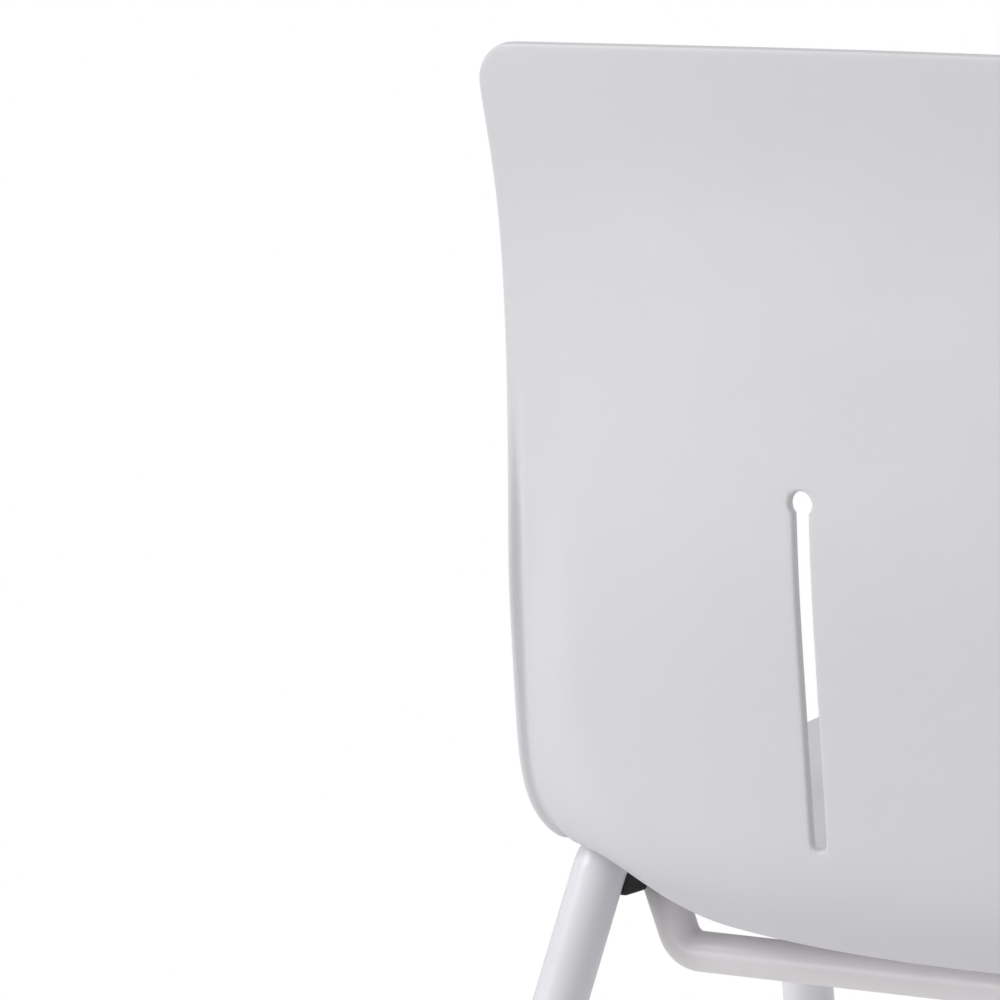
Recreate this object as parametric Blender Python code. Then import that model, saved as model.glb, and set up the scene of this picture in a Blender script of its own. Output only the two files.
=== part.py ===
"""Stacking chair: a one-piece moulded shell on a bent steel tube frame.

Metres, +Z up. The chair faces -Y and stands on z = 0, with its origin under the middle of its
footprint. Run it with blender --background --python part.py, or from the text editor.
"""
import math

import bmesh
import bpy
from mathutils import Matrix, Vector

# Clearance between pieces that touch
FIT_GAP = 0.0003

# Side frames: one bent tube each, in a plane that leans outward
RAIL_HEIGHT = 0.464
RAIL_HALF_SPACING = 0.2124
KNEE_OFFSET = 0.0893
KNEE_RADIUS = 0.020
LEG_RAKE = 0.379
LEG_SPLAY = 0.130
TUBE_RADIUS = 0.0125
TUBE_WALL = 0.002

# Crossbars: dropped U tubes between the rails
BAR_RADIUS = 0.008
BAR_WALL = 0.0015
BAR_CLEARANCE = 0.0052
BAR_LEAN = 0.39
BAR_ROOT_INSET = 0.005
BAR_BEND_RADIUS = 0.013
REAR_BAR_Y = 0.060
FRONT_BAR_Y = -0.050

# Mounting plates, screws and threaded inserts
PLATE_THICKNESS = 0.003
PLATE_WIDTH = 0.030
PLATE_CORNER = 0.005
PLATE_X = 0.105
HOLE_REACH = 0.022
HOLE_MARGIN = 0.011
SCREW_RADIUS = 0.003
SCREW_HEAD_RADIUS = 0.006
SCREW_HEAD_HEIGHT = 0.0034
HEAD_EDGE = 0.001
SOCKET_RADIUS = 0.0023
SOCKET_DEPTH = 0.0020
INSERT_RADIUS = 0.0045
INSERT_LENGTH = 0.009
BOSS_RADIUS = 0.009

# Stacking bumpers, clipped under the rails beside the knees
BUMPER_WIDTH = 0.022
BUMPER_LENGTH = 0.020
BUMPER_BELOW = 0.0105
BUMPER_SETBACK = 0.000
BUMPER_CHAMFER = 0.003

# Foot glides
GLIDE_HEIGHT = 0.016
GLIDE_RADIUS = 0.0135
GLIDE_PLUG_LENGTH = 0.022
GLIDE_EDGE = 0.0012

# Shell wall, and its lowest point below the top of the rails
SHELL_WALL = 0.005
SHELL_SINK = 0.0503
SHELL_LOW_POINT_Y = 0.0858

# Shell profile: lengths along the outer face from the front edge, and headings above +Y
SEAT_LENGTH = 0.330
BEND_LENGTH = 0.146
BACK_LENGTH = 0.3366
FRONT_ROLL_LENGTH = 0.090
FRONT_HEADING = math.radians(40.0)
SEAT_HEADING = math.radians(-4.7)
LOWER_BACK_HEADING = math.radians(82.25)
UPPER_BACK_HEADING = math.radians(87.95)
TOP_HEADING = math.radians(75.2)

# Shell widths: how far the seat's rim stands outside the rail, and each zone beyond the seat's heel
HEEL_OVERHANG = -0.0042
SEAT_EXTRA = 0.0110
HIP_EXTRA = 0.0239
WAIST_EXTRA = 0.0078
TOP_EXTRA = 0.0060

# Shell cross-section: shallow dish, then a wall that rises to a flat rim
DISH_POWER = 2.66
SEAT_DISH = 0.0109
BEND_DISH = 0.0265
BACK_DISH = 0.0184
TOP_DISH = 0.0067
FRONT_WALL_RISE = 0.0300
SEAT_WALL_RISE = 0.0370
BEND_WALL_RISE = 0.0105
HIP_WALL_RISE = 0.0143
SEAT_WALL_RUN = 0.070
BEND_WALL_RUN = 0.0775
BACK_WALL_RUN = 0.045
RIM_INSIDE_RAIL = 0.0142
BACK_RIM = 0.006
TOP_CROWN = 0.0037
FRONT_CORNER_RADIUS = 0.060
TOP_CORNER_RADIUS = 0.020

# Keyhole slots, placed from the end of the bend
SLOT_X = 0.0691
SLOT_START = -0.022
SLOT_LENGTH = 0.1634
SLOT_RADIUS = 0.0038
KEYHOLE_RADIUS = 0.0057
KEYHOLE_CUT_DEPTH = 0.040
SLOT_STEPS = 8

# Mesh fineness
SHELL_COLUMNS = 26
SHELL_ROWS = 50
END_PACKING = 0.58
PROFILE_STEPS = 400
SEARCH_STEPS = 40
SMOOTH_ANGLE = math.radians(35.0)
MERGE_DISTANCE = 0.00001
TUBE_BEVEL_RESOLUTION = 8
BAR_BEVEL_RESOLUTION = 5
ROUND_SIDES = 18
BEND_STEPS = 7
PLATE_CORNER_SEGMENTS = 3
BUMPER_CHAMFER_SEGMENTS = 2

SHELL_LENGTH = SEAT_LENGTH + BEND_LENGTH + BACK_LENGTH
BEND_END = SEAT_LENGTH + BEND_LENGTH

# Zones along the shell, as (start, length), where a shape eases from one value to the next
FRONT_ROLL_ZONE = (0.0, FRONT_ROLL_LENGTH)
BEND_ZONE = (SEAT_LENGTH, BEND_LENGTH)
LUMBAR_ZONE = (BEND_END + 0.054, 0.120)
TOP_ROLL_ZONE = (SHELL_LENGTH - 0.117, 0.110)
HEEL_WIDTH_ZONE = (SEAT_LENGTH - 0.100, 0.090)
HIP_WIDTH_ZONE = (SEAT_LENGTH + 0.030, 0.130)
WAIST_WIDTH_ZONE = (BEND_END - 0.006, 0.200)
TOP_WIDTH_ZONE = (SHELL_LENGTH - 0.150, 0.110)
BEND_DISH_ZONE = (SEAT_LENGTH - 0.110, 0.150)
BACK_DISH_ZONE = (BEND_END - 0.016, 0.120)
TOP_DISH_ZONE = (BEND_END + 0.174, 0.160)
FRONT_RISE_ZONE = (0.010, 0.110)
SEAT_RISE_ZONE = (SEAT_LENGTH - 0.160, 0.120)
BEND_RISE_ZONE = (SEAT_LENGTH - 0.005, 0.100)
HIP_RISE_ZONE = (BEND_END - 0.036, 0.120)
BACK_RISE_ZONE = (BEND_END + 0.024, 0.170)
BEND_RUN_ZONE = (SEAT_LENGTH - 0.030, 0.100)
BACK_RUN_ZONE = (BEND_END - 0.056, 0.100)
BACK_RIM_ZONE = (SEAT_LENGTH - 0.030, 0.120)
CROWN_ZONE = (SHELL_LENGTH - 0.200, 0.200)

# Heights and widths that follow from the sizes above
SHELL_LOW_POINT = RAIL_HEIGHT + TUBE_RADIUS - SHELL_SINK
HEEL_HALF_WIDTH = RAIL_HALF_SPACING + TUBE_RADIUS + HEEL_OVERHANG
HEEL_RIM = HEEL_HALF_WIDTH - RAIL_HALF_SPACING + TUBE_RADIUS + RIM_INSIDE_RAIL
BAR_HEIGHT = SHELL_LOW_POINT - BAR_CLEARANCE - BAR_RADIUS
PLATE_BOTTOM = BAR_HEIGHT + BAR_RADIUS + FIT_GAP
PLATE_TOP = PLATE_BOTTOM + PLATE_THICKNESS
BOSS_BOTTOM = PLATE_TOP + FIT_GAP
SIDES = (("left", 1), ("right", -1))
ENDS = (("front", -1), ("rear", 1))
BAR_Y = {"front": FRONT_BAR_Y, "rear": REAR_BAR_Y}

FINISHES = {
    "shell": ((0.72, 0.72, 0.73, 1.0), 0.45, 0.0),
    "frame": ((0.70, 0.70, 0.71, 1.0), 0.40, 0.0),
    "steel": ((0.62, 0.62, 0.63, 1.0), 0.30, 1.0),
    "brass": ((0.70, 0.55, 0.27, 1.0), 0.35, 1.0),
    "black_nylon": ((0.012, 0.012, 0.013, 1.0), 0.50, 0.0),
    "glide": ((0.30, 0.30, 0.31, 1.0), 0.55, 0.0),
}


# ---------------------------------------------------------------- helpers

def clear_scene():
    for obj in list(bpy.data.objects):
        bpy.data.objects.remove(obj, do_unlink=True)


def finish(name):
    """The Principled material called name."""
    material = bpy.data.materials.get(name)
    if material:
        return material
    colour, roughness, metallic = FINISHES[name]
    material = bpy.data.materials.new(name)
    material.use_nodes = True
    shader = material.node_tree.nodes["Principled BSDF"]
    shader.inputs["Base Color"].default_value = colour
    shader.inputs["Roughness"].default_value = roughness
    shader.inputs["Metallic"].default_value = metallic
    return material


def add_object(name, data, finish_name=None):
    obj = bpy.data.objects.new(name, data)
    bpy.context.scene.collection.objects.link(obj)
    if finish_name:
        data.materials.append(finish(finish_name))
    return obj


def add_mesh(name, bm, finish_name=None, smooth=True, closed=True):
    """An object made of bm, shaded smooth except at its sharp edges."""
    if closed:
        bmesh.ops.recalc_face_normals(bm, faces=bm.faces)
    mesh = bpy.data.meshes.new(name)
    bm.to_mesh(mesh)
    bm.free()
    if smooth:
        mesh.shade_smooth()
        mesh.set_sharp_from_angle(angle=SMOOTH_ANGLE)
    return add_object(name, mesh, finish_name)


def hide_cutter(obj):
    obj.hide_render = True
    obj.display_type = "WIRE"
    return obj


def combine(obj, other, operation):
    """A Boolean of obj with the hidden object other."""
    modifier = obj.modifiers.new(operation.lower(), "BOOLEAN")
    modifier.operation = operation
    modifier.solver = "EXACT"
    modifier.object = hide_cutter(other)


def smootherstep(t):
    t = min(max(t, 0.0), 1.0)
    return t * t * t * (t * (6.0 * t - 15.0) + 10.0)


def eased(s, zone):
    """0 before a zone, 1 after it."""
    start, length = zone
    return smootherstep((s - start) / length)


def through(s, first, *steps):
    """A value that starts at first and eases to the value of each (zone, value) step in turn."""
    value = first
    previous = first
    for zone, target in steps:
        value += (target - previous) * eased(s, zone)
        previous = target
    return value


def rounded_path(corners, radius):
    """The points of a polyline whose inner corners are arcs of one radius."""
    points = [corners[0]]
    for before, corner, after in zip(corners, corners[1:], corners[2:]):
        to_before = (before - corner).normalized()
        to_after = (after - corner).normalized()
        half_angle = to_before.angle(to_after) / 2.0
        centre = corner + (to_before + to_after).normalized() * (radius / math.sin(half_angle))
        start = corner + to_before * (radius / math.tan(half_angle))
        turn = math.pi - 2.0 * half_angle
        normal = (start - centre).normalized()
        for step in range(BEND_STEPS + 1):
            angle = turn * step / BEND_STEPS
            points.append(centre + (normal * math.cos(angle) - to_before * math.sin(angle)) * radius)
    points.append(corners[-1])
    return points


def stretched(points, length):
    """The same polyline, longer by length at both ends."""
    first = points[0] + (points[0] - points[1]).normalized() * length
    last = points[-1] + (points[-1] - points[-2]).normalized() * length
    return [first] + points[1:-1] + [last]


def rod(name, points, radius, resolution, finish_name=None):
    """A round rod along points, with flat ends."""
    curve = bpy.data.curves.new(name, "CURVE")
    curve.dimensions = "3D"
    curve.twist_mode = "MINIMUM"
    curve.bevel_depth = radius
    curve.bevel_resolution = resolution
    curve.use_fill_caps = True
    spline = curve.splines.new("POLY")
    spline.points.add(len(points) - 1)
    for spline_point, point in zip(spline.points, points):
        spline_point.co = (*point, 1.0)
    return add_object(name, curve, finish_name)


def as_mesh(obj):
    """The same object with its evaluated shape as a mesh."""
    evaluated = obj.evaluated_get(bpy.context.evaluated_depsgraph_get())
    mesh = bpy.data.meshes.new_from_object(evaluated)
    name = obj.name
    bpy.data.objects.remove(obj, do_unlink=True)
    bm = bmesh.new()
    bm.from_mesh(mesh)
    bmesh.ops.remove_doubles(bm, verts=bm.verts, dist=MERGE_DISTANCE)
    bpy.data.meshes.remove(mesh)
    return add_mesh(name, bm)


def tube(name, points, radius, wall, resolution, finish_name):
    """A hollow tube along points, open at both ends."""
    body = as_mesh(rod(name, points, radius, resolution))
    body.data.materials.append(finish(finish_name))
    bore = as_mesh(rod(name + "_bore", stretched(points, radius), radius - wall, resolution))
    combine(body, bore, "DIFFERENCE")
    return body


def turned(name, profile, place, finish_name=None):
    """A solid of revolution: profile is (radius, height) from one end of its axis to the other."""
    bm = bmesh.new()
    verts = [bm.verts.new((radius, 0.0, height)) for radius, height in profile]
    edges = [bm.edges.new(pair) for pair in zip(verts, verts[1:])]
    bmesh.ops.spin(bm, geom=verts + edges, cent=(0, 0, 0), axis=(0, 0, 1), angle=math.tau,
                   steps=ROUND_SIDES, use_merge=True, use_duplicate=False)
    bmesh.ops.remove_doubles(bm, verts=bm.verts, dist=MERGE_DISTANCE)
    bmesh.ops.holes_fill(bm, edges=bm.edges)
    bmesh.ops.transform(bm, matrix=place, verts=bm.verts)
    return add_mesh(name, bm, finish_name)


def cylinder(name, radius, bottom, top, x, y):
    """A plain upright cylinder, for a Boolean."""
    profile = ((radius, bottom), (radius, top))
    return turned(name, profile, Matrix.Translation((x, y, 0.0)))


# ---------------------------------------------------------------- side frames

def frame_point(side, y, drop):
    """A point of a side frame's leaning plane, drop below the rail's centre line."""
    return Vector((side * (RAIL_HALF_SPACING + LEG_SPLAY * drop), y, RAIL_HEIGHT - drop))


def leg_point(side, end, height):
    """The point of a leg's centre line at a height above the floor."""
    drop = RAIL_HEIGHT - height
    return frame_point(side, end * (KNEE_OFFSET + LEG_RAKE * drop), drop)


def frame_points(side):
    corners = [leg_point(side, -1, GLIDE_HEIGHT), frame_point(side, -KNEE_OFFSET, 0.0),
               frame_point(side, KNEE_OFFSET, 0.0), leg_point(side, 1, GLIDE_HEIGHT)]
    return rounded_path(corners, KNEE_RADIUS)


def make_side_frames():
    for label, side in SIDES:
        tube("side_frame_" + label, frame_points(side), TUBE_RADIUS, TUBE_WALL,
             TUBE_BEVEL_RESOLUTION, "frame")


def frame_cutter(name, side):
    """The outside of a side frame with its clearance, for cutting what meets it."""
    return as_mesh(rod(name, stretched(frame_points(side), TUBE_RADIUS), TUBE_RADIUS + FIT_GAP,
                       TUBE_BEVEL_RESOLUTION))


# ---------------------------------------------------------------- crossbars

def make_crossbars(cutters):
    root_x = RAIL_HALF_SPACING - BAR_ROOT_INSET
    foot_x = root_x - BAR_LEAN * (RAIL_HEIGHT - BAR_HEIGHT)
    for label, _end in ENDS:
        y = BAR_Y[label]
        corners = [Vector((-root_x, y, RAIL_HEIGHT)), Vector((-foot_x, y, BAR_HEIGHT)),
                   Vector((foot_x, y, BAR_HEIGHT)), Vector((root_x, y, RAIL_HEIGHT))]
        bar = tube(label + "_crossbar", rounded_path(corners, BAR_BEND_RADIUS), BAR_RADIUS,
                   BAR_WALL, BAR_BEVEL_RESOLUTION, "frame")
        for cutter in cutters.values():
            combine(bar, cutter, "DIFFERENCE")


# ---------------------------------------------------------------- plates, screws, inserts

def hole_y(label):
    return BAR_Y[label] - HOLE_REACH


def make_plate(name, x, label):
    """A flat plate on top of a crossbar, reaching forward of it to its screw hole."""
    front = hole_y(label) - HOLE_MARGIN
    back = BAR_Y[label]
    bm = bmesh.new()
    bmesh.ops.create_cube(bm, size=1.0)
    bmesh.ops.scale(bm, vec=(PLATE_WIDTH, back - front, PLATE_THICKNESS), verts=bm.verts)
    bmesh.ops.translate(bm, vec=(x, (front + back) / 2.0, (PLATE_BOTTOM + PLATE_TOP) / 2.0),
                        verts=bm.verts)
    upright = [edge for edge in bm.edges
               if abs(edge.verts[0].co.z - edge.verts[1].co.z) > PLATE_THICKNESS / 2.0]
    bmesh.ops.bevel(bm, geom=upright, offset=PLATE_CORNER, offset_type="OFFSET",
                    segments=PLATE_CORNER_SEGMENTS, profile=0.5, affect="EDGES", material=-1)
    plate = add_mesh(name, bm, "frame")
    hole = cylinder(name + "_hole", SCREW_RADIUS + FIT_GAP, PLATE_BOTTOM - PLATE_THICKNESS,
                    PLATE_TOP + PLATE_THICKNESS, x, hole_y(label))
    combine(plate, hole, "DIFFERENCE")


def make_screw(name, x, y):
    """A button-head screw, driven upward through its plate into the insert."""
    seat = PLATE_BOTTOM - FIT_GAP
    low = seat - SCREW_HEAD_HEIGHT
    tip = BOSS_BOTTOM + INSERT_LENGTH - FIT_GAP
    profile = ((0.0, tip), (SCREW_RADIUS, tip), (SCREW_RADIUS, seat), (SCREW_HEAD_RADIUS, seat),
               (SCREW_HEAD_RADIUS - HEAD_EDGE, (seat + low) / 2.0),
               (SCREW_HEAD_RADIUS - 2.0 * HEAD_EDGE, low), (SOCKET_RADIUS, low),
               (SOCKET_RADIUS, low + SOCKET_DEPTH), (0.0, low + SOCKET_DEPTH))
    turned(name, profile, Matrix.Translation((x, y, 0.0)), "steel")


def make_insert(name, x, y):
    """A threaded insert, moulded into the shell's boss and open at both ends."""
    inner = SCREW_RADIUS + FIT_GAP
    top = BOSS_BOTTOM + INSERT_LENGTH
    profile = ((inner, BOSS_BOTTOM), (INSERT_RADIUS, BOSS_BOTTOM), (INSERT_RADIUS, top),
               (inner, top), (inner, BOSS_BOTTOM))
    turned(name, profile, Matrix.Translation((x, y, 0.0)), "brass")


def mount_places():
    """Each mounting point's name ending and its place in plan."""
    for end_label, _end in ENDS:
        for side_label, side in SIDES:
            yield f"{end_label}_{side_label}", side * PLATE_X, end_label


def make_mountings():
    for place, x, end_label in mount_places():
        make_plate("mount_plate_" + place, x, end_label)
        make_screw("shell_screw_" + place, x, hole_y(end_label))
        make_insert("threaded_insert_" + place, x, hole_y(end_label))


# ---------------------------------------------------------------- bumpers and glides

def make_bumpers(cutters):
    """Blocks that clip under each rail, just inside its knee, and keep stacked chairs apart."""
    height = TUBE_RADIUS + BUMPER_BELOW
    for end_label, end in ENDS:
        for side_label, side in SIDES:
            bm = bmesh.new()
            bmesh.ops.create_cube(bm, size=1.0)
            bmesh.ops.scale(bm, vec=(BUMPER_WIDTH, BUMPER_LENGTH, height), verts=bm.verts)
            centre = Vector((side * RAIL_HALF_SPACING,
                             end * (KNEE_OFFSET - BUMPER_SETBACK - BUMPER_LENGTH / 2.0),
                             RAIL_HEIGHT - height / 2.0))
            bmesh.ops.translate(bm, vec=centre, verts=bm.verts)
            bottom = [edge for edge in bm.edges
                      if max(vert.co.z for vert in edge.verts) < centre.z]
            bmesh.ops.bevel(bm, geom=bottom, offset=BUMPER_CHAMFER, offset_type="OFFSET",
                            segments=BUMPER_CHAMFER_SEGMENTS, profile=0.5, affect="EDGES",
                            material=-1)
            bumper = add_mesh(f"stacking_bumper_{end_label}_{side_label}", bm, "black_nylon")
            combine(bumper, cutters[side_label], "DIFFERENCE")


def make_glides():
    """Feet plugged into the legs, cut level with the floor."""
    plug = TUBE_RADIUS - TUBE_WALL - FIT_GAP
    shoulder = -FIT_GAP
    low = -2.0 * GLIDE_HEIGHT
    profile = ((0.0, GLIDE_PLUG_LENGTH), (plug - GLIDE_EDGE, GLIDE_PLUG_LENGTH),
               (plug, GLIDE_PLUG_LENGTH - GLIDE_EDGE), (plug, shoulder),
               (GLIDE_RADIUS - GLIDE_EDGE, shoulder), (GLIDE_RADIUS, shoulder - GLIDE_EDGE),
               (GLIDE_RADIUS, low), (0.0, low))
    for end_label, end in ENDS:
        for side_label, side in SIDES:
            base = leg_point(side, end, GLIDE_HEIGHT)
            axis = frame_point(side, end * KNEE_OFFSET, 0.0) - base
            place = Matrix.Translation(base) @ axis.to_track_quat("Z", "Y").to_matrix().to_4x4()
            glide = turned(f"foot_glide_{end_label}_{side_label}", profile, place, "glide")
            bm = bmesh.new()
            bm.from_mesh(glide.data)
            geometry = bm.verts[:] + bm.edges[:] + bm.faces[:]
            bmesh.ops.bisect_plane(bm, geom=geometry, plane_co=(0, 0, 0), plane_no=(0, 0, 1),
                                   clear_inner=True)
            bmesh.ops.holes_fill(bm, edges=bm.edges)
            bm.to_mesh(glide.data)
            bm.free()


# ---------------------------------------------------------------- shell

def heading(s):
    """The profile's direction above +Y at arc length s from the front edge."""
    return through(s, FRONT_HEADING, (FRONT_ROLL_ZONE, SEAT_HEADING),
                   (BEND_ZONE, LOWER_BACK_HEADING), (LUMBAR_ZONE, UPPER_BACK_HEADING),
                   (TOP_ROLL_ZONE, TOP_HEADING))


def trace_profile():
    """The profile's (s, y, z) stations, summed from its heading and set on the frame."""
    ds = SHELL_LENGTH / PROFILE_STEPS
    y = z = 0.0
    stations = [(0.0, y, z)]
    for step in range(PROFILE_STEPS):
        angle = heading((step + 0.5) * ds)
        y += math.cos(angle) * ds
        z += math.sin(angle) * ds
        stations.append(((step + 1) * ds, y, z))
    past_front = [station for station in stations if station[0] > FRONT_ROLL_LENGTH]
    _s, low_y, low_z = min(past_front, key=lambda station: station[2])
    shift_y = SHELL_LOW_POINT_Y - low_y
    shift_z = SHELL_LOW_POINT - low_z
    return [(s, y + shift_y, z + shift_z) for s, y, z in stations]


PROFILE = trace_profile()


def profile_point(s):
    """The profile's (y, z) at arc length s."""
    position = s / SHELL_LENGTH * (len(PROFILE) - 1)
    index = min(int(position), len(PROFILE) - 2)
    part = position - index
    _s0, y0, z0 = PROFILE[index]
    _s1, y1, z1 = PROFILE[index + 1]
    return y0 + (y1 - y0) * part, z0 + (z1 - z0) * part


def full_half_width(s):
    extra = through(s, SEAT_EXTRA, (HEEL_WIDTH_ZONE, 0.0), (HIP_WIDTH_ZONE, HIP_EXTRA),
                    (WAIST_WIDTH_ZONE, WAIST_EXTRA), (TOP_WIDTH_ZONE, TOP_EXTRA))
    return HEEL_HALF_WIDTH + extra


def trimmed_half_width(s):
    """The half width after the corners of the front and top edges are rounded."""
    width = full_half_width(s)
    for distance, radius in ((s, FRONT_CORNER_RADIUS), (SHELL_LENGTH - s, TOP_CORNER_RADIUS)):
        if distance < radius:
            width -= radius - math.sqrt(max(radius ** 2 - (radius - distance) ** 2, 0.0))
    return width


def rise(x, s):
    """How far the outer face stands inward of its centre line at x."""
    width = full_half_width(s)
    dish = through(s, SEAT_DISH, (BEND_DISH_ZONE, BEND_DISH), (BACK_DISH_ZONE, BACK_DISH),
                   (TOP_DISH_ZONE, TOP_DISH))
    wall_rise = through(s, 0.0, (FRONT_RISE_ZONE, FRONT_WALL_RISE),
                        (SEAT_RISE_ZONE, SEAT_WALL_RISE), (BEND_RISE_ZONE, BEND_WALL_RISE),
                        (HIP_RISE_ZONE, HIP_WALL_RISE), (BACK_RISE_ZONE, 0.0))
    wall_run = through(s, SEAT_WALL_RUN, (BEND_RUN_ZONE, BEND_WALL_RUN),
                       (BACK_RUN_ZONE, BACK_WALL_RUN))
    rim = through(s, HEEL_RIM + SEAT_EXTRA, (HEEL_WIDTH_ZONE, HEEL_RIM), (BACK_RIM_ZONE, BACK_RIM))
    across = abs(x) / width
    climb = (abs(x) - (width - rim - wall_run)) / wall_run
    return dish * across ** DISH_POWER + wall_rise * smootherstep(climb)


def shell_point(x, s):
    """The outer face's point at x and arc length s."""
    y, z = profile_point(s)
    angle = heading(s)
    inward = rise(x, s)
    crown = TOP_CROWN * eased(s, CROWN_ZONE) * (x / HEEL_HALF_WIDTH) ** 2
    return Vector((x, y - math.sin(angle) * inward, z + math.cos(angle) * inward - crown))


def spaced(t):
    """A 0 to 1 position, packed closer near both ends."""
    return t - END_PACKING * math.sin(math.tau * t) / math.tau


def shell_surface():
    """The outer face as a grid of quads that face outward."""
    bm = bmesh.new()
    bmesh.ops.create_grid(bm, x_segments=SHELL_COLUMNS, y_segments=SHELL_ROWS, size=0.5)
    for vert in bm.verts:
        across = 2.0 * spaced(vert.co.x + 0.5) - 1.0
        s = SHELL_LENGTH * spaced(vert.co.y + 0.5)
        vert.co = shell_point(across * trimmed_half_width(s), s)
    bmesh.ops.reverse_faces(bm, faces=bm.faces)
    return bm


def underside_height(x, y):
    """The outer face's height under the seat at a place in plan."""
    low, high = FRONT_ROLL_LENGTH, SEAT_LENGTH + BEND_LENGTH / 2.0
    for _step in range(SEARCH_STEPS):
        middle = (low + high) / 2.0
        if shell_point(x, middle).y < y:
            low = middle
        else:
            high = middle
    return shell_point(x, low).z


def arc(height, radius, first, last, steps):
    """Points (across, along) of an arc centred on the slot's middle line at a height."""
    angles = [first + (last - first) * step / steps for step in range(steps + 1)]
    return [(radius * math.cos(angle), height + radius * math.sin(angle)) for angle in angles]


def keyhole_cutter(name, side):
    """A keyhole prism that passes through the back, round end down and keyhole up."""
    start = shell_point(SLOT_X, BEND_END + SLOT_START)
    end = shell_point(SLOT_X, BEND_END + SLOT_START + SLOT_LENGTH)
    along = (end - start).normalized()
    across = Vector((1.0, 0.0, 0.0))
    out = across.cross(along)
    low = SLOT_RADIUS
    high = (end - start).length - KEYHOLE_RADIUS
    neck = math.acos(SLOT_RADIUS / KEYHOLE_RADIUS)
    outline = arc(low, SLOT_RADIUS, math.pi, math.tau, SLOT_STEPS)
    outline += arc(high, KEYHOLE_RADIUS, -neck, math.pi + neck, 2 * SLOT_STEPS)
    bm = bmesh.new()
    verts = []
    for across_part, along_part in outline:
        point = start + along * along_part + across * across_part
        point += out * KEYHOLE_CUT_DEPTH
        verts.append(bm.verts.new((side * point.x, point.y, point.z)))
    face = bm.faces.new(verts)
    extruded = bmesh.ops.extrude_face_region(bm, geom=[face])
    moved = [item for item in extruded["geom"] if isinstance(item, bmesh.types.BMVert)]
    back = out * (-2.0 * KEYHOLE_CUT_DEPTH)
    bmesh.ops.translate(bm, vec=(0.0, back.y, back.z), verts=moved)
    return add_mesh(name, bm, smooth=False)


def make_shell():
    bm = shell_surface()
    shell = add_mesh("shell", bm, "shell", closed=False)
    wall = shell.modifiers.new("wall", "SOLIDIFY")
    wall.thickness = SHELL_WALL
    wall.offset = -1.0
    wall.use_even_offset = True
    for place, x, end_label in mount_places():
        y = hole_y(end_label)
        boss_top = underside_height(abs(x), y) + SHELL_WALL / 2.0
        boss = cylinder("boss_" + place, BOSS_RADIUS, BOSS_BOTTOM, boss_top, x, y)
        combine(shell, boss, "UNION")
        hole_top = BOSS_BOTTOM + INSERT_LENGTH + FIT_GAP
        hole = cylinder("boss_hole_" + place, INSERT_RADIUS + FIT_GAP,
                        BOSS_BOTTOM - INSERT_LENGTH, hole_top, x, y)
        combine(shell, hole, "DIFFERENCE")
    for label, side in SIDES:
        combine(shell, keyhole_cutter("keyhole_" + label, side), "DIFFERENCE")
    return shell


def main():
    clear_scene()
    cutters = {label: frame_cutter("frame_cutter_" + label, side) for label, side in SIDES}
    make_side_frames()
    make_crossbars(cutters)
    make_mountings()
    make_bumpers(cutters)
    make_glides()
    make_shell()


main()
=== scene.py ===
"""Looks for a stacking chair: a moulded shell on a frame of bent steel tube.

Metres, +Z up. The chair faces -Y and stands on z = 0.
"""
import math

import bmesh
import bpy
from bpy.props import FloatProperty, FloatVectorProperty, IntProperty, PointerProperty
from mathutils import Euler, Matrix, Vector


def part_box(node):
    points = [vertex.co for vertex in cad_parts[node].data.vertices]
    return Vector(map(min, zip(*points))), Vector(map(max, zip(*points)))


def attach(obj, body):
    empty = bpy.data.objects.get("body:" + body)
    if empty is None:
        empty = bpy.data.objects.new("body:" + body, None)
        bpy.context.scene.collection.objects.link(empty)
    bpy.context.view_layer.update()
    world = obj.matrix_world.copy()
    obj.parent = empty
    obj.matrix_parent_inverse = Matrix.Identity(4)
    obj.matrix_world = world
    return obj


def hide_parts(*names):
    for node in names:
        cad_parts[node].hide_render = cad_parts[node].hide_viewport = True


bl_info = {
    "name": "Stacking chair",
    "version": (1, 0, 0),
    "blender": (4, 5, 0),
    "location": "3D View > Sidebar > Chair",
    "description": "Builds a stacking chair around its engineering model",
    "category": "Object",
}

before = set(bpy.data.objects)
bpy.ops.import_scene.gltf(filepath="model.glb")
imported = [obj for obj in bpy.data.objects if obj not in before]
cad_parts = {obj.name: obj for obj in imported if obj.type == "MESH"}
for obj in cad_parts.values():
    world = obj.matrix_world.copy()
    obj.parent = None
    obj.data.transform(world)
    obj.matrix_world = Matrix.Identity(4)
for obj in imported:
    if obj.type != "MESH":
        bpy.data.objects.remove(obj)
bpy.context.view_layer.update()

# Ends and sides of the chair
SIDES = (("left", 1), ("right", -1))
ENDS = (("front", -1), ("rear", 1))
PLACES = tuple((f"{end}_{side}", sx, sy) for end, sy in ENDS for side, sx in SIDES)

# Side frames
RAIL_HEIGHT = 0.464
RAIL_HALF_SPACING = 0.2124
KNEE_OFFSET = 0.0893
KNEE_RADIUS = 0.020
LEG_RAKE = 0.379
LEG_SPLAY = 0.130
TUBE_RADIUS = 0.0125
TUBE_END_ROUND = 0.0004
FIT_GAP = 0.0003

# Crossbars. ARM_SEARCH is how far back along an arm the search for the rail's surface starts
BAR_WALL = 0.0015
BAR_CLEARANCE = 0.0052
BAR_LEAN = 0.39
BAR_ROOT_INSET = 0.005
BAR_BEND_RADIUS = 0.013
ARM_SEARCH = 0.020

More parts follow.
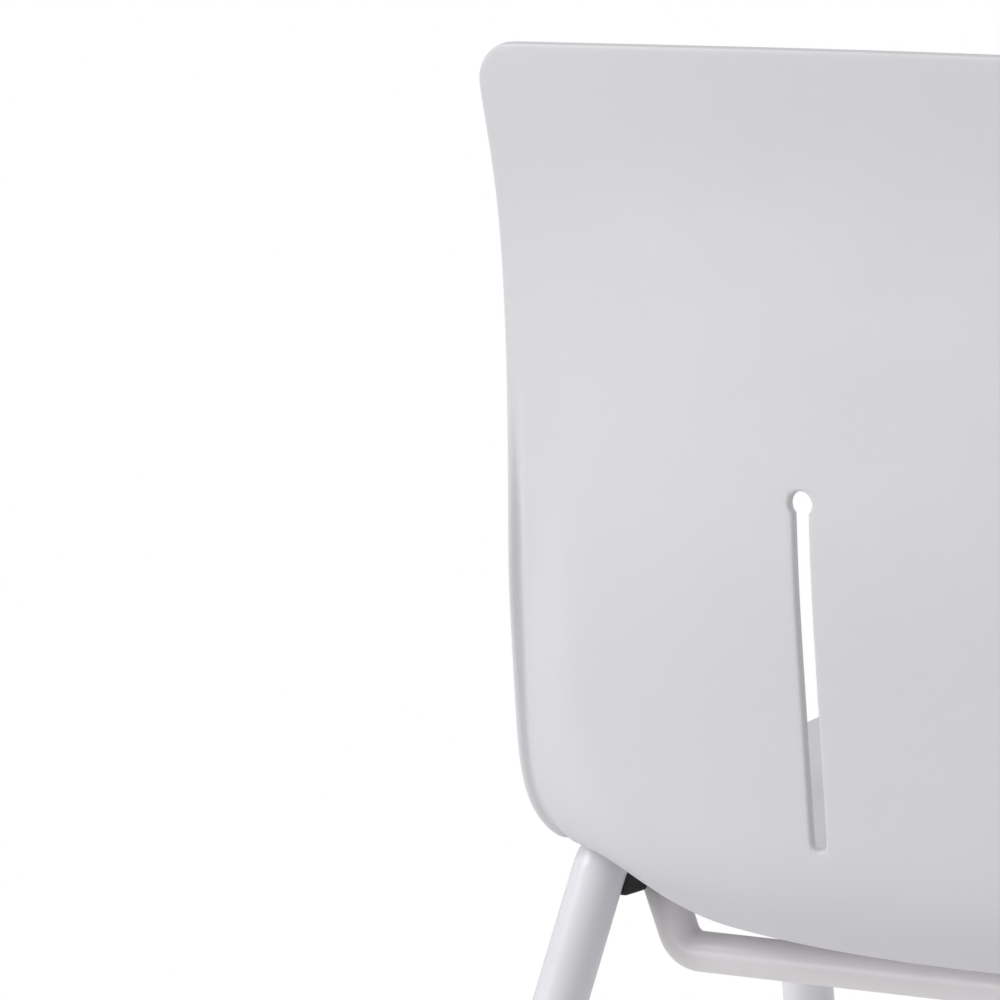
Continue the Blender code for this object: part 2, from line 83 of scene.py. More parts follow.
# Weld beads. PLATE_BEAD_SHARE is a plate bead's radius as a share of a crossbar weld's, and
# PLATE_BEAD_UNDER_BAR_SHARE is of the crossbar's radius. The other shares are of the bead's own
WELD_STEPS = 96
WELD_RIPPLES = 26
WELD_RIPPLE_SHARE = 0.07
WELD_STANDOFF_SHARE = 0.25
PLATE_BEAD_STEPS = 40
PLATE_BEAD_SHARE = 0.8
PLATE_BEAD_TIP_SHARE = 0.35
PLATE_BEAD_TIP_STEPS = 3.0
PLATE_BEAD_RIPPLE_SHARE = 0.08
PLATE_BEAD_RIPPLE_TURN = 2.4
PLATE_BEAD_REAR_SHARE = 0.4
PLATE_BEAD_DROP_SHARE = 0.6
PLATE_BEAD_UNDER_BAR_SHARE = 0.62

# Plates, screws, bosses and inserts
PLATE_CORNER = 0.005
PLATE_EDGE_ROUND = 0.0005
SCREW_RADIUS = 0.003
SCREW_TIP_CHAMFER = 0.0005
SCREW_EDGE_ROUND = 0.00015
SCREW_HEAD_HEIGHT = 0.0034
HEAD_BAND_HEIGHT = 0.0007
HEAD_FLAT_SHARE = 0.60
SOCKET_WIDTH = 0.0046
SOCKET_DEPTH = 0.0020
BOSS_RADIUS = 0.009
BOSS_EDGE = 0.0006
# Where a boss spreads into the shell, as (outward, below the middle of the shell's wall)
BOSS_FLARE = ((0.0002, 0.0045), (0.0008, 0.0030), (0.0030, 0.0018), (0.0030, 0.0))
# Across and along the insert
INSERT_END_CHAMFER = (0.0002, 0.0003)
INSERT_GROOVE_DEPTH = 0.0005
INSERT_GROOVE_TOP = 0.0010
INSERT_GROOVE_FLOOR = 0.0006
KNURL_VALLEY_SHARE = 0.975

# Foot glides, with a fine line turned into each foot
GLIDE_HEIGHT = 0.016
GLIDE_RADIUS = 0.0135
GLIDE_EDGE = 0.0012
GLIDE_EDGE_ROUND = 0.0006
GLIDE_PLUG_LENGTH = 0.022
GLIDE_LINE_TOP = 0.0055
GLIDE_LINE_BOTTOM = 0.0073
GLIDE_LINE_SLOPE = 0.0005
GLIDE_LINE_DEPTH = 0.0004

# Shell profile along its outer face
SEAT_LENGTH = 0.330
BEND_LENGTH = 0.146
BACK_LENGTH = 0.3366
FRONT_ROLL_LENGTH = 0.090
FRONT_HEADING = math.radians(40.0)
SEAT_HEADING = math.radians(-4.7)
LOWER_BACK_HEADING = math.radians(82.25)
UPPER_BACK_HEADING = math.radians(87.95)
TOP_HEADING = math.radians(75.2)
SHELL_SINK = 0.0503
SHELL_LOW_POINT_Y = 0.0858

# Shell widths and cross-section
HEEL_OVERHANG = -0.0042
SEAT_EXTRA = 0.0110
HIP_EXTRA = 0.0239
WAIST_EXTRA = 0.0078
TOP_EXTRA = 0.0060
DISH_POWER = 2.66
SEAT_DISH = 0.0109
BEND_DISH = 0.0265
BACK_DISH = 0.0184
TOP_DISH = 0.0067
FRONT_WALL_RISE = 0.0300
SEAT_WALL_RISE = 0.0370
BEND_WALL_RISE = 0.0105
HIP_WALL_RISE = 0.0143
SEAT_WALL_RUN = 0.070
BEND_WALL_RUN = 0.0775
BACK_WALL_RUN = 0.045
RIM_INSIDE_RAIL = 0.0142
BACK_RIM = 0.006
TOP_CROWN = 0.0037
FRONT_CORNER_RADIUS = 0.060
TOP_CORNER_RADIUS = 0.020

# Shallow groove that sets off the lip along each side
GROOVE_DEPTH = 0.0030
GROOVE_INSET = 0.0066
GROOVE_HALF_WIDTH = 0.0046

# Keyhole slots
SLOT_X = 0.0691
SLOT_START = -0.022
SLOT_LENGTH = 0.1634
SLOT_RADIUS = 0.0038
KEYHOLE_RADIUS = 0.0057

SHELL_LENGTH = SEAT_LENGTH + BEND_LENGTH + BACK_LENGTH
BEND_END = SEAT_LENGTH + BEND_LENGTH
HEEL_HALF_WIDTH = RAIL_HALF_SPACING + TUBE_RADIUS + HEEL_OVERHANG
HEEL_RIM = HEEL_HALF_WIDTH - RAIL_HALF_SPACING + TUBE_RADIUS + RIM_INSIDE_RAIL
SLOT_LOW = BEND_END + SLOT_START + SLOT_RADIUS
SLOT_HEAD = BEND_END + SLOT_START + SLOT_LENGTH - KEYHOLE_RADIUS

# Zones along the shell, as (start, length), where a shape eases from one value to the next
FRONT_ROLL_ZONE = (0.0, FRONT_ROLL_LENGTH)
BEND_ZONE = (SEAT_LENGTH, BEND_LENGTH)
LUMBAR_ZONE = (BEND_END + 0.054, 0.120)
TOP_ROLL_ZONE = (SHELL_LENGTH - 0.117, 0.110)
HEEL_WIDTH_ZONE = (SEAT_LENGTH - 0.100, 0.090)
HIP_WIDTH_ZONE = (SEAT_LENGTH + 0.030, 0.130)
WAIST_WIDTH_ZONE = (BEND_END - 0.006, 0.200)
TOP_WIDTH_ZONE = (SHELL_LENGTH - 0.150, 0.110)
BEND_DISH_ZONE = (SEAT_LENGTH - 0.110, 0.150)
BACK_DISH_ZONE = (BEND_END - 0.016, 0.120)
TOP_DISH_ZONE = (BEND_END + 0.174, 0.160)
FRONT_RISE_ZONE = (0.010, 0.110)
SEAT_RISE_ZONE = (SEAT_LENGTH - 0.160, 0.120)
BEND_RISE_ZONE = (SEAT_LENGTH - 0.005, 0.100)
HIP_RISE_ZONE = (BEND_END - 0.036, 0.120)
BACK_RISE_ZONE = (BEND_END + 0.024, 0.170)
BEND_RUN_ZONE = (SEAT_LENGTH - 0.030, 0.100)
BACK_RUN_ZONE = (BEND_END - 0.056, 0.100)
BACK_RIM_ZONE = (SEAT_LENGTH - 0.030, 0.120)
CROWN_ZONE = (SHELL_LENGTH - 0.200, 0.200)
GROOVE_START_ZONE = (SEAT_LENGTH - 0.100, 0.080)
GROOVE_END_ZONE = (BEND_END + 0.080, 0.130)

# Shell mesh. Columns nearer the middle than COLUMN_FIXED keep their places, and the rest stretch
# with the rim
PROFILE_STEPS = 800
SEARCH_STEPS = 40
COARSE_CELL = 0.0062
FINE_CELL = 0.0026
FRONT_CELL = 0.004
RIM_CELL = 0.0013
RIM_FINE = 0.014
COLUMN_FIXED = 0.110
EDGE_STEPS = 4
SLOT_COLUMNS = 8
SLOT_MARGIN = 0.012
SLOT_FADE = 0.020
NECK_ROWS = 3
PROBE = 0.0001
CORNER_EASE = 1.15
CORNER_PASSES = 40

# Fineness of the other meshes
TUBE_SIDES = 56
BAR_SIDES = 40
KNEE_STEPS = 20
ROUND_STEPS = 48
HOLE_SIDES = 40
CORNER_STEPS = 8
BUMPER_STEPS = 5
QUARTER_STEPS = 6
MERGE_DISTANCE = 0.00001
CREASE = math.radians(35.0)

# Stage. Each light is a place and the diameter of its disk
KEY_LIGHT = ((2.2, 1.9, 2.8), 1.9)
FILL_LIGHT = ((1.5, 2.6, 0.45), 1.4)
FRONT_LIGHT = ((-0.9, -2.8, 2.3), 2.0)
LIGHT_TARGET = (0.0, 0.0, 0.5)
FLOOR_SIZE = 30.0
FLOOR_SHADOW_END = 0.7
FLOOR_WHITE_START = 1.7
CAMERA_PLACE = (-1.34271, 2.74192, 1.01131)
CAMERA_PITCH = math.radians(82.8153)
CAMERA_HEADING = math.radians(211.2943)


# ---------------------------------------------------------------- settings

class ShellSettings(bpy.types.PropertyGroup):
    wall: FloatProperty(name="Wall", description="Thickness of the moulded wall",
                        default=0.005, min=0.002, unit="LENGTH")
    edge_round: FloatProperty(name="Edge round", description="Radius on both edges of the rim",
                              default=0.0016, min=0.0, unit="LENGTH")
    colour: FloatVectorProperty(name="Plastic", description="Colour of the moulded shell",
                                default=(0.640, 0.630, 0.655), size=3, subtype="COLOR")
    roughness: FloatProperty(name="Roughness", description="Roughness of the plastic",
                             default=0.42, min=0.0, max=1.0, subtype="FACTOR")


class FrameSettings(bpy.types.PropertyGroup):
    tube_radius: FloatProperty(name="Leg tube radius", description="Outside radius of the legs",
                               default=TUBE_RADIUS, min=0.005, unit="LENGTH")
    tube_wall: FloatProperty(name="Tube wall", description="Wall thickness of the leg tube",
                             default=0.002, min=0.0005, unit="LENGTH")
    bar_radius: FloatProperty(name="Crossbar radius", description="Outside radius of a crossbar",
                              default=0.008, min=0.004, unit="LENGTH")
    weld_size: FloatProperty(name="Weld size", description="Radius of a weld bead",
                             default=0.0021, min=0.0005, unit="LENGTH")
    colour: FloatVectorProperty(name="Powder coat", description="Colour of the painted frame",
                                default=(0.735, 0.725, 0.765), size=3, subtype="COLOR")


class FixingSettings(bpy.types.PropertyGroup):
    bumper_round: FloatProperty(name="Bumper edge", description="Rounding of the bumper edges",
                                default=0.0025, min=0.0, unit="LENGTH")
    bumper_colour: FloatVectorProperty(name="Bumper", description="Colour of the black nylon",
                                       default=(0.012, 0.012, 0.013), size=3, subtype="COLOR")
    glide_colour: FloatVectorProperty(name="Glide", description="Colour of the foot glides",
                                      default=(0.30, 0.30, 0.31), size=3, subtype="COLOR")
    knurl_count: IntProperty(name="Knurls", description="Ridges round a threaded insert",
                             default=24, min=6)


class StageSettings(bpy.types.PropertyGroup):
    lens: FloatProperty(name="Focal length", description="Lens on a 36 mm sensor, in millimetres",
                        default=244.502, min=1.0, unit="CAMERA")
    key_power: FloatProperty(name="Key light", description="Power of the main soft light, watts",
                             default=54.0, min=0.0, unit="POWER")
    fill_power: FloatProperty(name="Fill light", description="Power of the low second light, watts",
                              default=15.0, min=0.0, unit="POWER")
    front_power: FloatProperty(name="Front light", description="Power of the light in front, watts",
                               default=26.0, min=0.0, unit="POWER")
    sky_strength: FloatProperty(name="Sky", description="Strength of the even light all round",
                                default=0.54, min=0.0)


# ---------------------------------------------------------------- materials

def make_material(name, colour, roughness, metallic=0.0):
    material = bpy.data.materials.new(name)
    material.use_nodes = True
    shader = material.node_tree.nodes["Principled BSDF"]
    shader.inputs["Base Color"].default_value = (*colour, 1.0)
    shader.inputs["Roughness"].default_value = roughness
    shader.inputs["Metallic"].default_value = metallic
    return material


def add_noise(material, scale, detail=2.0, stretch=(1.0, 1.0, 1.0)):
    """A noise on Object coordinates. Scale is in cells per metre."""
    nodes, links = material.node_tree.nodes, material.node_tree.links
    place = nodes.new("ShaderNodeTexCoord")
    mapping = nodes.new("ShaderNodeMapping")
    mapping.inputs["Scale"].default_value = stretch
    texture = nodes.new("ShaderNodeTexNoise")
    texture.inputs["Scale"].default_value = scale
    texture.inputs["Detail"].default_value = detail
    links.new(place.outputs["Object"], mapping.inputs["Vector"])
    links.new(mapping.outputs["Vector"], texture.inputs["Vector"])
    return texture.outputs["Fac"]


def add_range(material, factor, low, high):
    """A noise's middle range mapped to low and high."""
    nodes, links = material.node_tree.nodes, material.node_tree.links
    remap = nodes.new("ShaderNodeMapRange")
    remap.inputs["From Min"].default_value = 0.3
    remap.inputs["From Max"].default_value = 0.7
    remap.inputs["To Min"].default_value = low
    remap.inputs["To Max"].default_value = high
    links.new(factor, remap.inputs["Value"])
    return remap.outputs["Result"]


def vary_roughness(material, factor, low, high):
    shader = material.node_tree.nodes["Principled BSDF"]
    material.node_tree.links.new(add_range(material, factor, low, high),
                                 shader.inputs["Roughness"])


def vary_colour(material, factor, colour, other):
    nodes, links = material.node_tree.nodes, material.node_tree.links
    ramp = nodes.new("ShaderNodeValToRGB")
    ramp.color_ramp.elements[0].position = 0.32
    ramp.color_ramp.elements[1].position = 0.68
    ramp.color_ramp.elements[0].color = (*colour, 1.0)
    ramp.color_ramp.elements[1].color = (*other, 1.0)
    links.new(factor, ramp.inputs["Fac"])
    links.new(ramp.outputs["Color"], nodes["Principled BSDF"].inputs["Base Color"])


def add_bump(material, layers):
    """Chains (factor, depth in metres) bumps into the surface normal."""
    nodes, links = material.node_tree.nodes, material.node_tree.links
    last = None
    for factor, depth in layers:
        bump = nodes.new("ShaderNodeBump")
        bump.inputs["Strength"].default_value = 1.0
        bump.inputs["Distance"].default_value = depth
        links.new(factor, bump.inputs["Height"])
        if last:
            links.new(last, bump.inputs["Normal"])
        last = bump.outputs["Normal"]
    links.new(last, nodes["Principled BSDF"].inputs["Normal"])


def shade(colour, factor):
    """A colour made darker, or lighter where factor is over 1."""
    return tuple(min(channel * factor, 1.0) for channel in colour)


def shell_plastic():
    """Satin polypropylene with a fine spark-eroded grain."""
    settings = bpy.context.scene.chair_shell
    colour = tuple(settings.colour)
    rough = settings.roughness
    material = make_material("shell_plastic", colour, rough)
    vary_colour(material, add_noise(material, 5.0, 3.0), shade(colour, 0.985),
                shade(colour, 1.015))
    vary_roughness(material, add_noise(material, 38.0, 4.0), rough - 0.04, rough + 0.05)
    grain = add_noise(material, 1500.0, 2.0)
    sink = add_noise(material, 26.0, 1.0)
    add_bump(material, ((grain, 0.000016), (sink, 0.00006)))
    material.node_tree.nodes["Principled BSDF"].inputs["Specular IOR Level"].default_value = 0.45
    return material


def powder_coat(name, shade_blue_share=1.0):
    """Thick powder coat with an orange-peel skin. A blue share under 1 takes blue out of it: a
    warmer grey copy that paints in the shade under the seat.
    """
    colour = tuple(bpy.context.scene.chair_frame.colour)
    colour = (colour[0], colour[1] * (1.0 + shade_blue_share) / 2.0, colour[2] * shade_blue_share)
    material = make_material(name, colour, 0.34)
    vary_colour(material, add_noise(material, 14.0, 3.0), shade(colour, 0.975),
                shade(colour, 1.01))
    vary_roughness(material, add_noise(material, 120.0, 3.0), 0.30, 0.42)
    peel = add_noise(material, 420.0, 2.0)
    specks = add_noise(material, 2200.0, 1.0)
    add_bump(material, ((peel, 0.00005), (specks, 0.00001)))
    shader = material.node_tree.nodes["Principled BSDF"]
    shader.inputs["Coat Weight"].default_value = 0.25
    shader.inputs["Coat Roughness"].default_value = 0.18
    return material


def zinc_steel():
    material = make_material("zinc_plated_steel", (0.60, 0.60, 0.62), 0.32, 1.0)
    vary_roughness(material, add_noise(material, 900.0, 4.0), 0.24, 0.44)
    vary_colour(material, add_noise(material, 160.0, 2.0), (0.56, 0.57, 0.59), (0.66, 0.65, 0.63))
    add_bump(material, ((add_noise(material, 2600.0, 2.0), 0.000008),))
    return material


def plain_brass():
    material = make_material("plain_brass", (0.70, 0.55, 0.27), 0.33, 1.0)
    vary_roughness(material, add_noise(material, 700.0, 3.0), 0.26, 0.45)
    vary_colour(material, add_noise(material, 220.0, 2.0), (0.64, 0.49, 0.24), (0.74, 0.60, 0.32))
    return material


def moulded_nylon(name, colour, roughness, grain):
    """Nylon with a moulded grain and faint scuffs."""
    material = make_material(name, colour, roughness)
    vary_colour(material, add_noise(material, 90.0, 4.0), shade(colour, 0.85),
                shade(colour, 1.20))
    vary_roughness(material, add_noise(material, 260.0, 3.0), roughness - 0.08, roughness + 0.10)
    add_bump(material, ((add_noise(material, grain, 2.0), 0.00003),))
    return material


def finish_material(name):
    """The material called name, made on first use."""
    material = bpy.data.materials.get(name)
    if material:
        return material
    fixings = bpy.context.scene.chair_fixings
    if name == "shell_plastic":
        return shell_plastic()
    if name == "frame_powder_coat":
        return powder_coat(name)
    # The crossbars get a warmer grey copy of the frame coat: painted shade from the seat above
    # them.
    if name == "crossbar_painted_shade_coat":
        return powder_coat(name, 0.95)
    if name == "zinc_plated_steel":
        return zinc_steel()
    if name == "plain_brass":
        return plain_brass()
    if name == "black_nylon":
        return moulded_nylon(name, tuple(fixings.bumper_colour), 0.50, 1300.0)
    return moulded_nylon("glide_nylon", tuple(fixings.glide_colour), 0.55, 1100.0)


# ---------------------------------------------------------------- helpers

def add_piece(name, bm, material, slot, *nodes):
    """A finished piece made of bm, shaded smooth, riding on the chair in place of CAD nodes."""
    bmesh.ops.recalc_face_normals(bm, faces=bm.faces)
    mesh = bpy.data.meshes.new(name)
    bm.to_mesh(mesh)
    bm.free()
    mesh.shade_smooth()
    piece = bpy.data.objects.new(name, mesh)
    bpy.context.scene.collection.objects.link(piece)
    mesh.materials.append(finish_material(material))
    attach(piece, "root")
    if nodes:
        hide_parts(*nodes)
    return piece


def round_edges(piece, width, segments, degrees=40.0):
    """A live bevel on every edge sharper than the given angle."""
    bevel = piece.modifiers.new("round_edges", "BEVEL")
    bevel.width = width
    bevel.segments = segments
    bevel.limit_method = "ANGLE"
    bevel.angle_limit = math.radians(degrees)
    bevel.use_clamp_overlap = False
    bevel.harden_normals = True


def cut_away(bm, cutter):
    """What an exact Boolean leaves of the mesh bm outside the mesh cutter. Both are used up."""
    objects = []
    for part in (bm, cutter):
        bmesh.ops.recalc_face_normals(part, faces=part.faces)
        mesh = bpy.data.meshes.new("boolean_part")
        part.to_mesh(mesh)
        part.free()
        helper = bpy.data.objects.new("boolean_part", mesh)
        bpy.context.scene.collection.objects.link(helper)
        objects.append(helper)
    body, tool = objects
    modifier = body.modifiers.new("cut", "BOOLEAN")
    modifier.operation = "DIFFERENCE"
    modifier.solver = "EXACT"
    modifier.object = tool
    evaluated = body.evaluated_get(bpy.context.evaluated_depsgraph_get())
    mesh = bpy.data.meshes.new_from_object(evaluated)
    result = bmesh.new()
    result.from_mesh(mesh)
    for helper in objects:
        bpy.data.objects.remove(helper, do_unlink=True)
    return result


def smootherstep(t):
    """Eases from 0 at t = 0 to 1 at t = 1, with no jump in slope or curvature."""
    t = min(max(t, 0.0), 1.0)
    return t * t * t * (t * (6.0 * t - 15.0) + 10.0)


def eased(s, zone):
    """0 before a zone, 1 after it."""
    start, length = zone
    return smootherstep((s - start) / length)


def through(s, first, *steps):
    """A value that starts at first and eases to the value of each (zone, value) step in turn."""
    value = first
    previous = first
    for zone, target in steps:
        value += (target - previous) * eased(s, zone)
        previous = target
    return value


def stations(first, *runs):
    """Rising positions from first: each (end, cell) run is cut evenly into steps of about cell."""
    points = [first]
    for end, cell in runs:
        start = points[-1]
        count = max(1, math.ceil((end - start) / cell - 0.01))
        points += [start + (end - start) * step / count for step in range(1, count + 1)]
    return points


def quarter_turn():
    """Angles from 0 to a right angle, for a rounding."""
    return [math.pi / 2.0 * step / QUARTER_STEPS for step in range(QUARTER_STEPS + 1)]


def middle_of(low, high):
    """The (x, y) of a box's middle in plan."""
    return (low.x + high.x) / 2.0, (low.y + high.y) / 2.0


def block(low, high):
    """A box between two corners."""
    bm = bmesh.new()
    bmesh.ops.create_cube(bm, size=1.0)
    bmesh.ops.scale(bm, vec=high - low, verts=bm.verts)
    bmesh.ops.translate(bm, vec=(high + low) / 2.0, verts=bm.verts)
    return bm


def rod(x, y, z, radius, length, sides):
    """An upright rod with its middle at a point, for cutting a hole."""
    bm = bmesh.new()
    bmesh.ops.create_cone(bm, cap_ends=True, segments=sides, radius1=radius, radius2=radius,
                          depth=length, matrix=Matrix.Translation((x, y, z)))
    return bm


def bevel_edges(bm, edges, radius, steps):
    """Rounds some edges of a mesh."""
    bmesh.ops.bevel(bm, geom=edges, offset=radius, offset_type="OFFSET", segments=steps,
                    profile=0.5, affect="EDGES", material=-1)


def spun(profile, place, steps=ROUND_STEPS):
    """A solid of revolution: profile is (radius, height) points from one end of its axis to the
    other."""
    bm = bmesh.new()
    verts = [bm.verts.new((radius, 0.0, height)) for radius, height in profile]
    edges = [bm.edges.new(pair) for pair in zip(verts, verts[1:])]
    bmesh.ops.spin(bm, geom=verts + edges, cent=(0, 0, 0), axis=(0, 0, 1), angle=math.tau,
                   steps=steps, use_merge=True, use_duplicate=False)
    bmesh.ops.remove_doubles(bm, verts=bm.verts, dist=MERGE_DISTANCE)
    bmesh.ops.transform(bm, matrix=place, verts=bm.verts)
    return bm


def new_ring(extruded):
    """The edges and the vertices of the ring that an extrusion made."""
    made = {item for item in extruded["geom"] if isinstance(item, bmesh.types.BMVert)}
    return [item for item in extruded["geom"] if isinstance(item, bmesh.types.BMEdge)
            and all(vert in made for vert in item.verts)], list(made)


def bent_tube(corners, bend_radius, radius, sides):
    """A tube's skin: a ring extruded along each straight and spun round each bend."""
    bm = bmesh.new()
    here = corners[0]
    direction = (corners[1] - here).normalized()
    place = Matrix.Translation(here) @ direction.to_track_quat("Z", "Y").to_matrix().to_4x4()
    bmesh.ops.create_circle(bm, cap_ends=False, segments=sides, radius=radius, matrix=place)
    ring = bm.edges[:]
    for before, corner, after in zip(corners, corners[1:], corners[2:]):
        into = (corner - before).normalized()
        out = (after - corner).normalized()
        turn = into.angle(out)
        start = corner - into * (bend_radius * math.tan(turn / 2.0))
        ring, verts = new_ring(bmesh.ops.extrude_edge_only(bm, edges=ring))
        bmesh.ops.translate(bm, vec=start - here, verts=verts)
        axis = into.cross(out).normalized()
        centre = start + axis.cross(into) * bend_radius
        bent = bmesh.ops.spin(bm, geom=ring, cent=centre, axis=axis, angle=turn,
                              steps=KNEE_STEPS, use_duplicate=False)
        ring = [item for item in bent["geom_last"] if isinstance(item, bmesh.types.BMEdge)]
        here = corner + out * (bend_radius * math.tan(turn / 2.0))
    ring, verts = new_ring(bmesh.ops.extrude_edge_only(bm, edges=ring))
    bmesh.ops.translate(bm, vec=corners[-1] - here, verts=verts)
    bmesh.ops.remove_doubles(bm, verts=bm.verts, dist=MERGE_DISTANCE)
    return bm


def wall_inward(piece, thickness):
    """A live wall inside a skin, closed at its open edges."""
    wall = piece.modifiers.new("wall", "SOLIDIFY")
    wall.thickness = thickness
    wall.offset = -1.0
    wall.use_even_offset = True


# ---------------------------------------------------------------- frame layout

def frame_point(side, y, drop):
    """A point of a side frame's leaning plane, drop below the rail's centre line."""
    return Vector((side * (RAIL_HALF_SPACING + LEG_SPLAY * drop), y, RAIL_HEIGHT - drop))


def leg_point(side, end, height):
    """The point of a leg's centre line at a height above the floor."""
    drop = RAIL_HEIGHT - height
    return frame_point(side, end * (KNEE_OFFSET + LEG_RAKE * drop), drop)


def frame_corners(side):
    """The corners of a side frame's centre line, from the front foot to the rear one."""
    return [leg_point(side, -1, GLIDE_HEIGHT), frame_point(side, -KNEE_OFFSET, 0.0),
            frame_point(side, KNEE_OFFSET, 0.0), leg_point(side, 1, GLIDE_HEIGHT)]


def frame_skin(side, radius):
    """The outside of a side frame, as an open-ended skin."""
    return bent_tube(frame_corners(side), KNEE_RADIUS, radius, TUBE_SIDES)


def bar_y(label):
    """How far back a crossbar stands."""
    low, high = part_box(label + "_crossbar")
    return (low.y + high.y) / 2.0


def low_point():
    """The height of the lowest line of the shell's outer face under the sitter."""
    return RAIL_HEIGHT + bpy.context.scene.chair_frame.tube_radius - SHELL_SINK


def bar_height():
    """The height of the crossbars' centre line under the shell."""
    return low_point() - BAR_CLEARANCE - bpy.context.scene.chair_frame.bar_radius


def rail_surface(point, direction, side, radius):
    """Where a line from point along direction meets the outside of a straight rail."""
    offset = Vector((point.x - side * RAIL_HALF_SPACING, 0.0, point.z - RAIL_HEIGHT))
    a = direction.x ** 2 + direction.z ** 2
    b = offset.x * direction.x + offset.z * direction.z
    c = offset.x ** 2 + offset.z ** 2 - radius ** 2
    reach = (-b - math.sqrt(max(b * b - a * c, 0.0))) / a
    return point + direction * reach


# ---------------------------------------------------------------- shell shape

def heading(s):
    """The profile's direction above +Y at arc length s from the front edge."""
    return through(s, FRONT_HEADING, (FRONT_ROLL_ZONE, SEAT_HEADING),
                   (BEND_ZONE, LOWER_BACK_HEADING), (LUMBAR_ZONE, UPPER_BACK_HEADING),
                   (TOP_ROLL_ZONE, TOP_HEADING))


def trace_profile():
    """The profile's (s, y, z) stations, summed from its heading and set on the frame."""
    ds = SHELL_LENGTH / PROFILE_STEPS
    y = z = 0.0
    points = [(0.0, y, z)]
    for step in range(PROFILE_STEPS):
        angle = heading((step + 0.5) * ds)
        y += math.cos(angle) * ds
        z += math.sin(angle) * ds
        points.append(((step + 1) * ds, y, z))
    past_front = [point for point in points if point[0] > FRONT_ROLL_LENGTH]
    _s, low_y, low_z = min(past_front, key=lambda point: point[2])
    tube_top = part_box("side_frame_left")[1].z
    shift_z = tube_top - SHELL_SINK - low_z
    return [(s, y + SHELL_LOW_POINT_Y - low_y, z + shift_z) for s, y, z in points]


PROFILE = trace_profile()


def profile_point(s):
    """The profile's (y, z) at arc length s."""
    position = s / SHELL_LENGTH * (len(PROFILE) - 1)
    index = min(int(position), len(PROFILE) - 2)
    part = position - index
    _s0, y0, z0 = PROFILE[index]
    _s1, y1, z1 = PROFILE[index + 1]
    return y0 + (y1 - y0) * part, z0 + (z1 - z0) * part


def half_width(s):
    """Half the shell's width at arc length s, before its corners are rounded."""
    extra = through(s, SEAT_EXTRA, (HEEL_WIDTH_ZONE, 0.0), (HIP_WIDTH_ZONE, HIP_EXTRA),
                    (WAIST_WIDTH_ZONE, WAIST_EXTRA), (TOP_WIDTH_ZONE, TOP_EXTRA))
    return HEEL_HALF_WIDTH + extra


def rise(x, s):
    """How far the outer face stands inward of its centre line at x."""
    width = half_width(s)
    dish = through(s, SEAT_DISH, (BEND_DISH_ZONE, BEND_DISH), (BACK_DISH_ZONE, BACK_DISH),
                   (TOP_DISH_ZONE, TOP_DISH))
    wall_rise = through(s, 0.0, (FRONT_RISE_ZONE, FRONT_WALL_RISE),
                        (SEAT_RISE_ZONE, SEAT_WALL_RISE), (BEND_RISE_ZONE, BEND_WALL_RISE),
                        (HIP_RISE_ZONE, HIP_WALL_RISE), (BACK_RISE_ZONE, 0.0))
    wall_run = through(s, SEAT_WALL_RUN, (BEND_RUN_ZONE, BEND_WALL_RUN),
                       (BACK_RUN_ZONE, BACK_WALL_RUN))
    rim = through(s, HEEL_RIM + SEAT_EXTRA, (HEEL_WIDTH_ZONE, HEEL_RIM), (BACK_RIM_ZONE, BACK_RIM))
    across = abs(x) / width
    climb = (abs(x) - (width - rim - wall_run)) / wall_run
    return dish * across ** DISH_POWER + wall_rise * smootherstep(climb) + groove(x, s)


def groove(x, s):
    """How deep the groove beside the lip is at x."""
    across = (half_width(s) - abs(x) - GROOVE_INSET) / GROOVE_HALF_WIDTH
    if abs(across) >= 1.0:
        return 0.0
    return (GROOVE_DEPTH * (1.0 - across * across) ** 2
            * through(s, 0.0, (GROOVE_START_ZONE, 1.0), (GROOVE_END_ZONE, 0.0)))


def shell_point(x, s):
    """The outer face's point at x and arc length s, before its edges are rounded."""
    y, z = profile_point(s)
    angle = heading(s)
    inward = rise(x, s)
    crown = TOP_CROWN * eased(s, CROWN_ZONE) * (x / HEEL_HALF_WIDTH) ** 2
    return Vector((x, y - math.sin(angle) * inward, z + math.cos(angle) * inward - crown))


def underside_height(x, y):
    """The outer face's height under the seat at a place in plan."""
    low, high = FRONT_ROLL_LENGTH, SEAT_LENGTH + BEND_LENGTH / 2.0
    for _step in range(SEARCH_STEPS):
        middle = (low + high) / 2.0
        if shell_point(x, middle).y < y:
            low = middle
        else:
            high = middle
    return shell_point(x, low).z


def edge_steps(radius):
    """Distances from an edge at the lines of its rounding, from the face to the edge."""
    quarter = math.pi / 2.0
    return [radius * (1.0 - math.sin(quarter * step / EDGE_STEPS))
            for step in range(EDGE_STEPS + 1)]


def half_columns(edge_round):
    """Positions across one half: absolute as far as COLUMN_FIXED, then stretched to the rim."""
    edge = edge_steps(edge_round)
    near, far = SLOT_X - SLOT_RADIUS, SLOT_X + SLOT_RADIUS
    inner = stations(0.0, (SLOT_X - SLOT_MARGIN, COARSE_CELL), (near - edge_round, FINE_CELL))
    inner += [near - d for d in edge[1:]]
    slot = [SLOT_X - SLOT_RADIUS * math.cos(math.pi * step / SLOT_COLUMNS)
            for step in range(1, SLOT_COLUMNS)]
    outer = [far + d for d in reversed(edge[1:])]
    outer += stations(far + edge_round, (SLOT_X + SLOT_MARGIN, FINE_CELL),
                      (COLUMN_FIXED, COARSE_CELL), (HEEL_HALF_WIDTH - RIM_FINE, COARSE_CELL),
                      (HEEL_HALF_WIDTH - edge_round, RIM_CELL))
    return inner + slot + outer + [HEEL_HALF_WIDTH - d for d in edge[1:]]


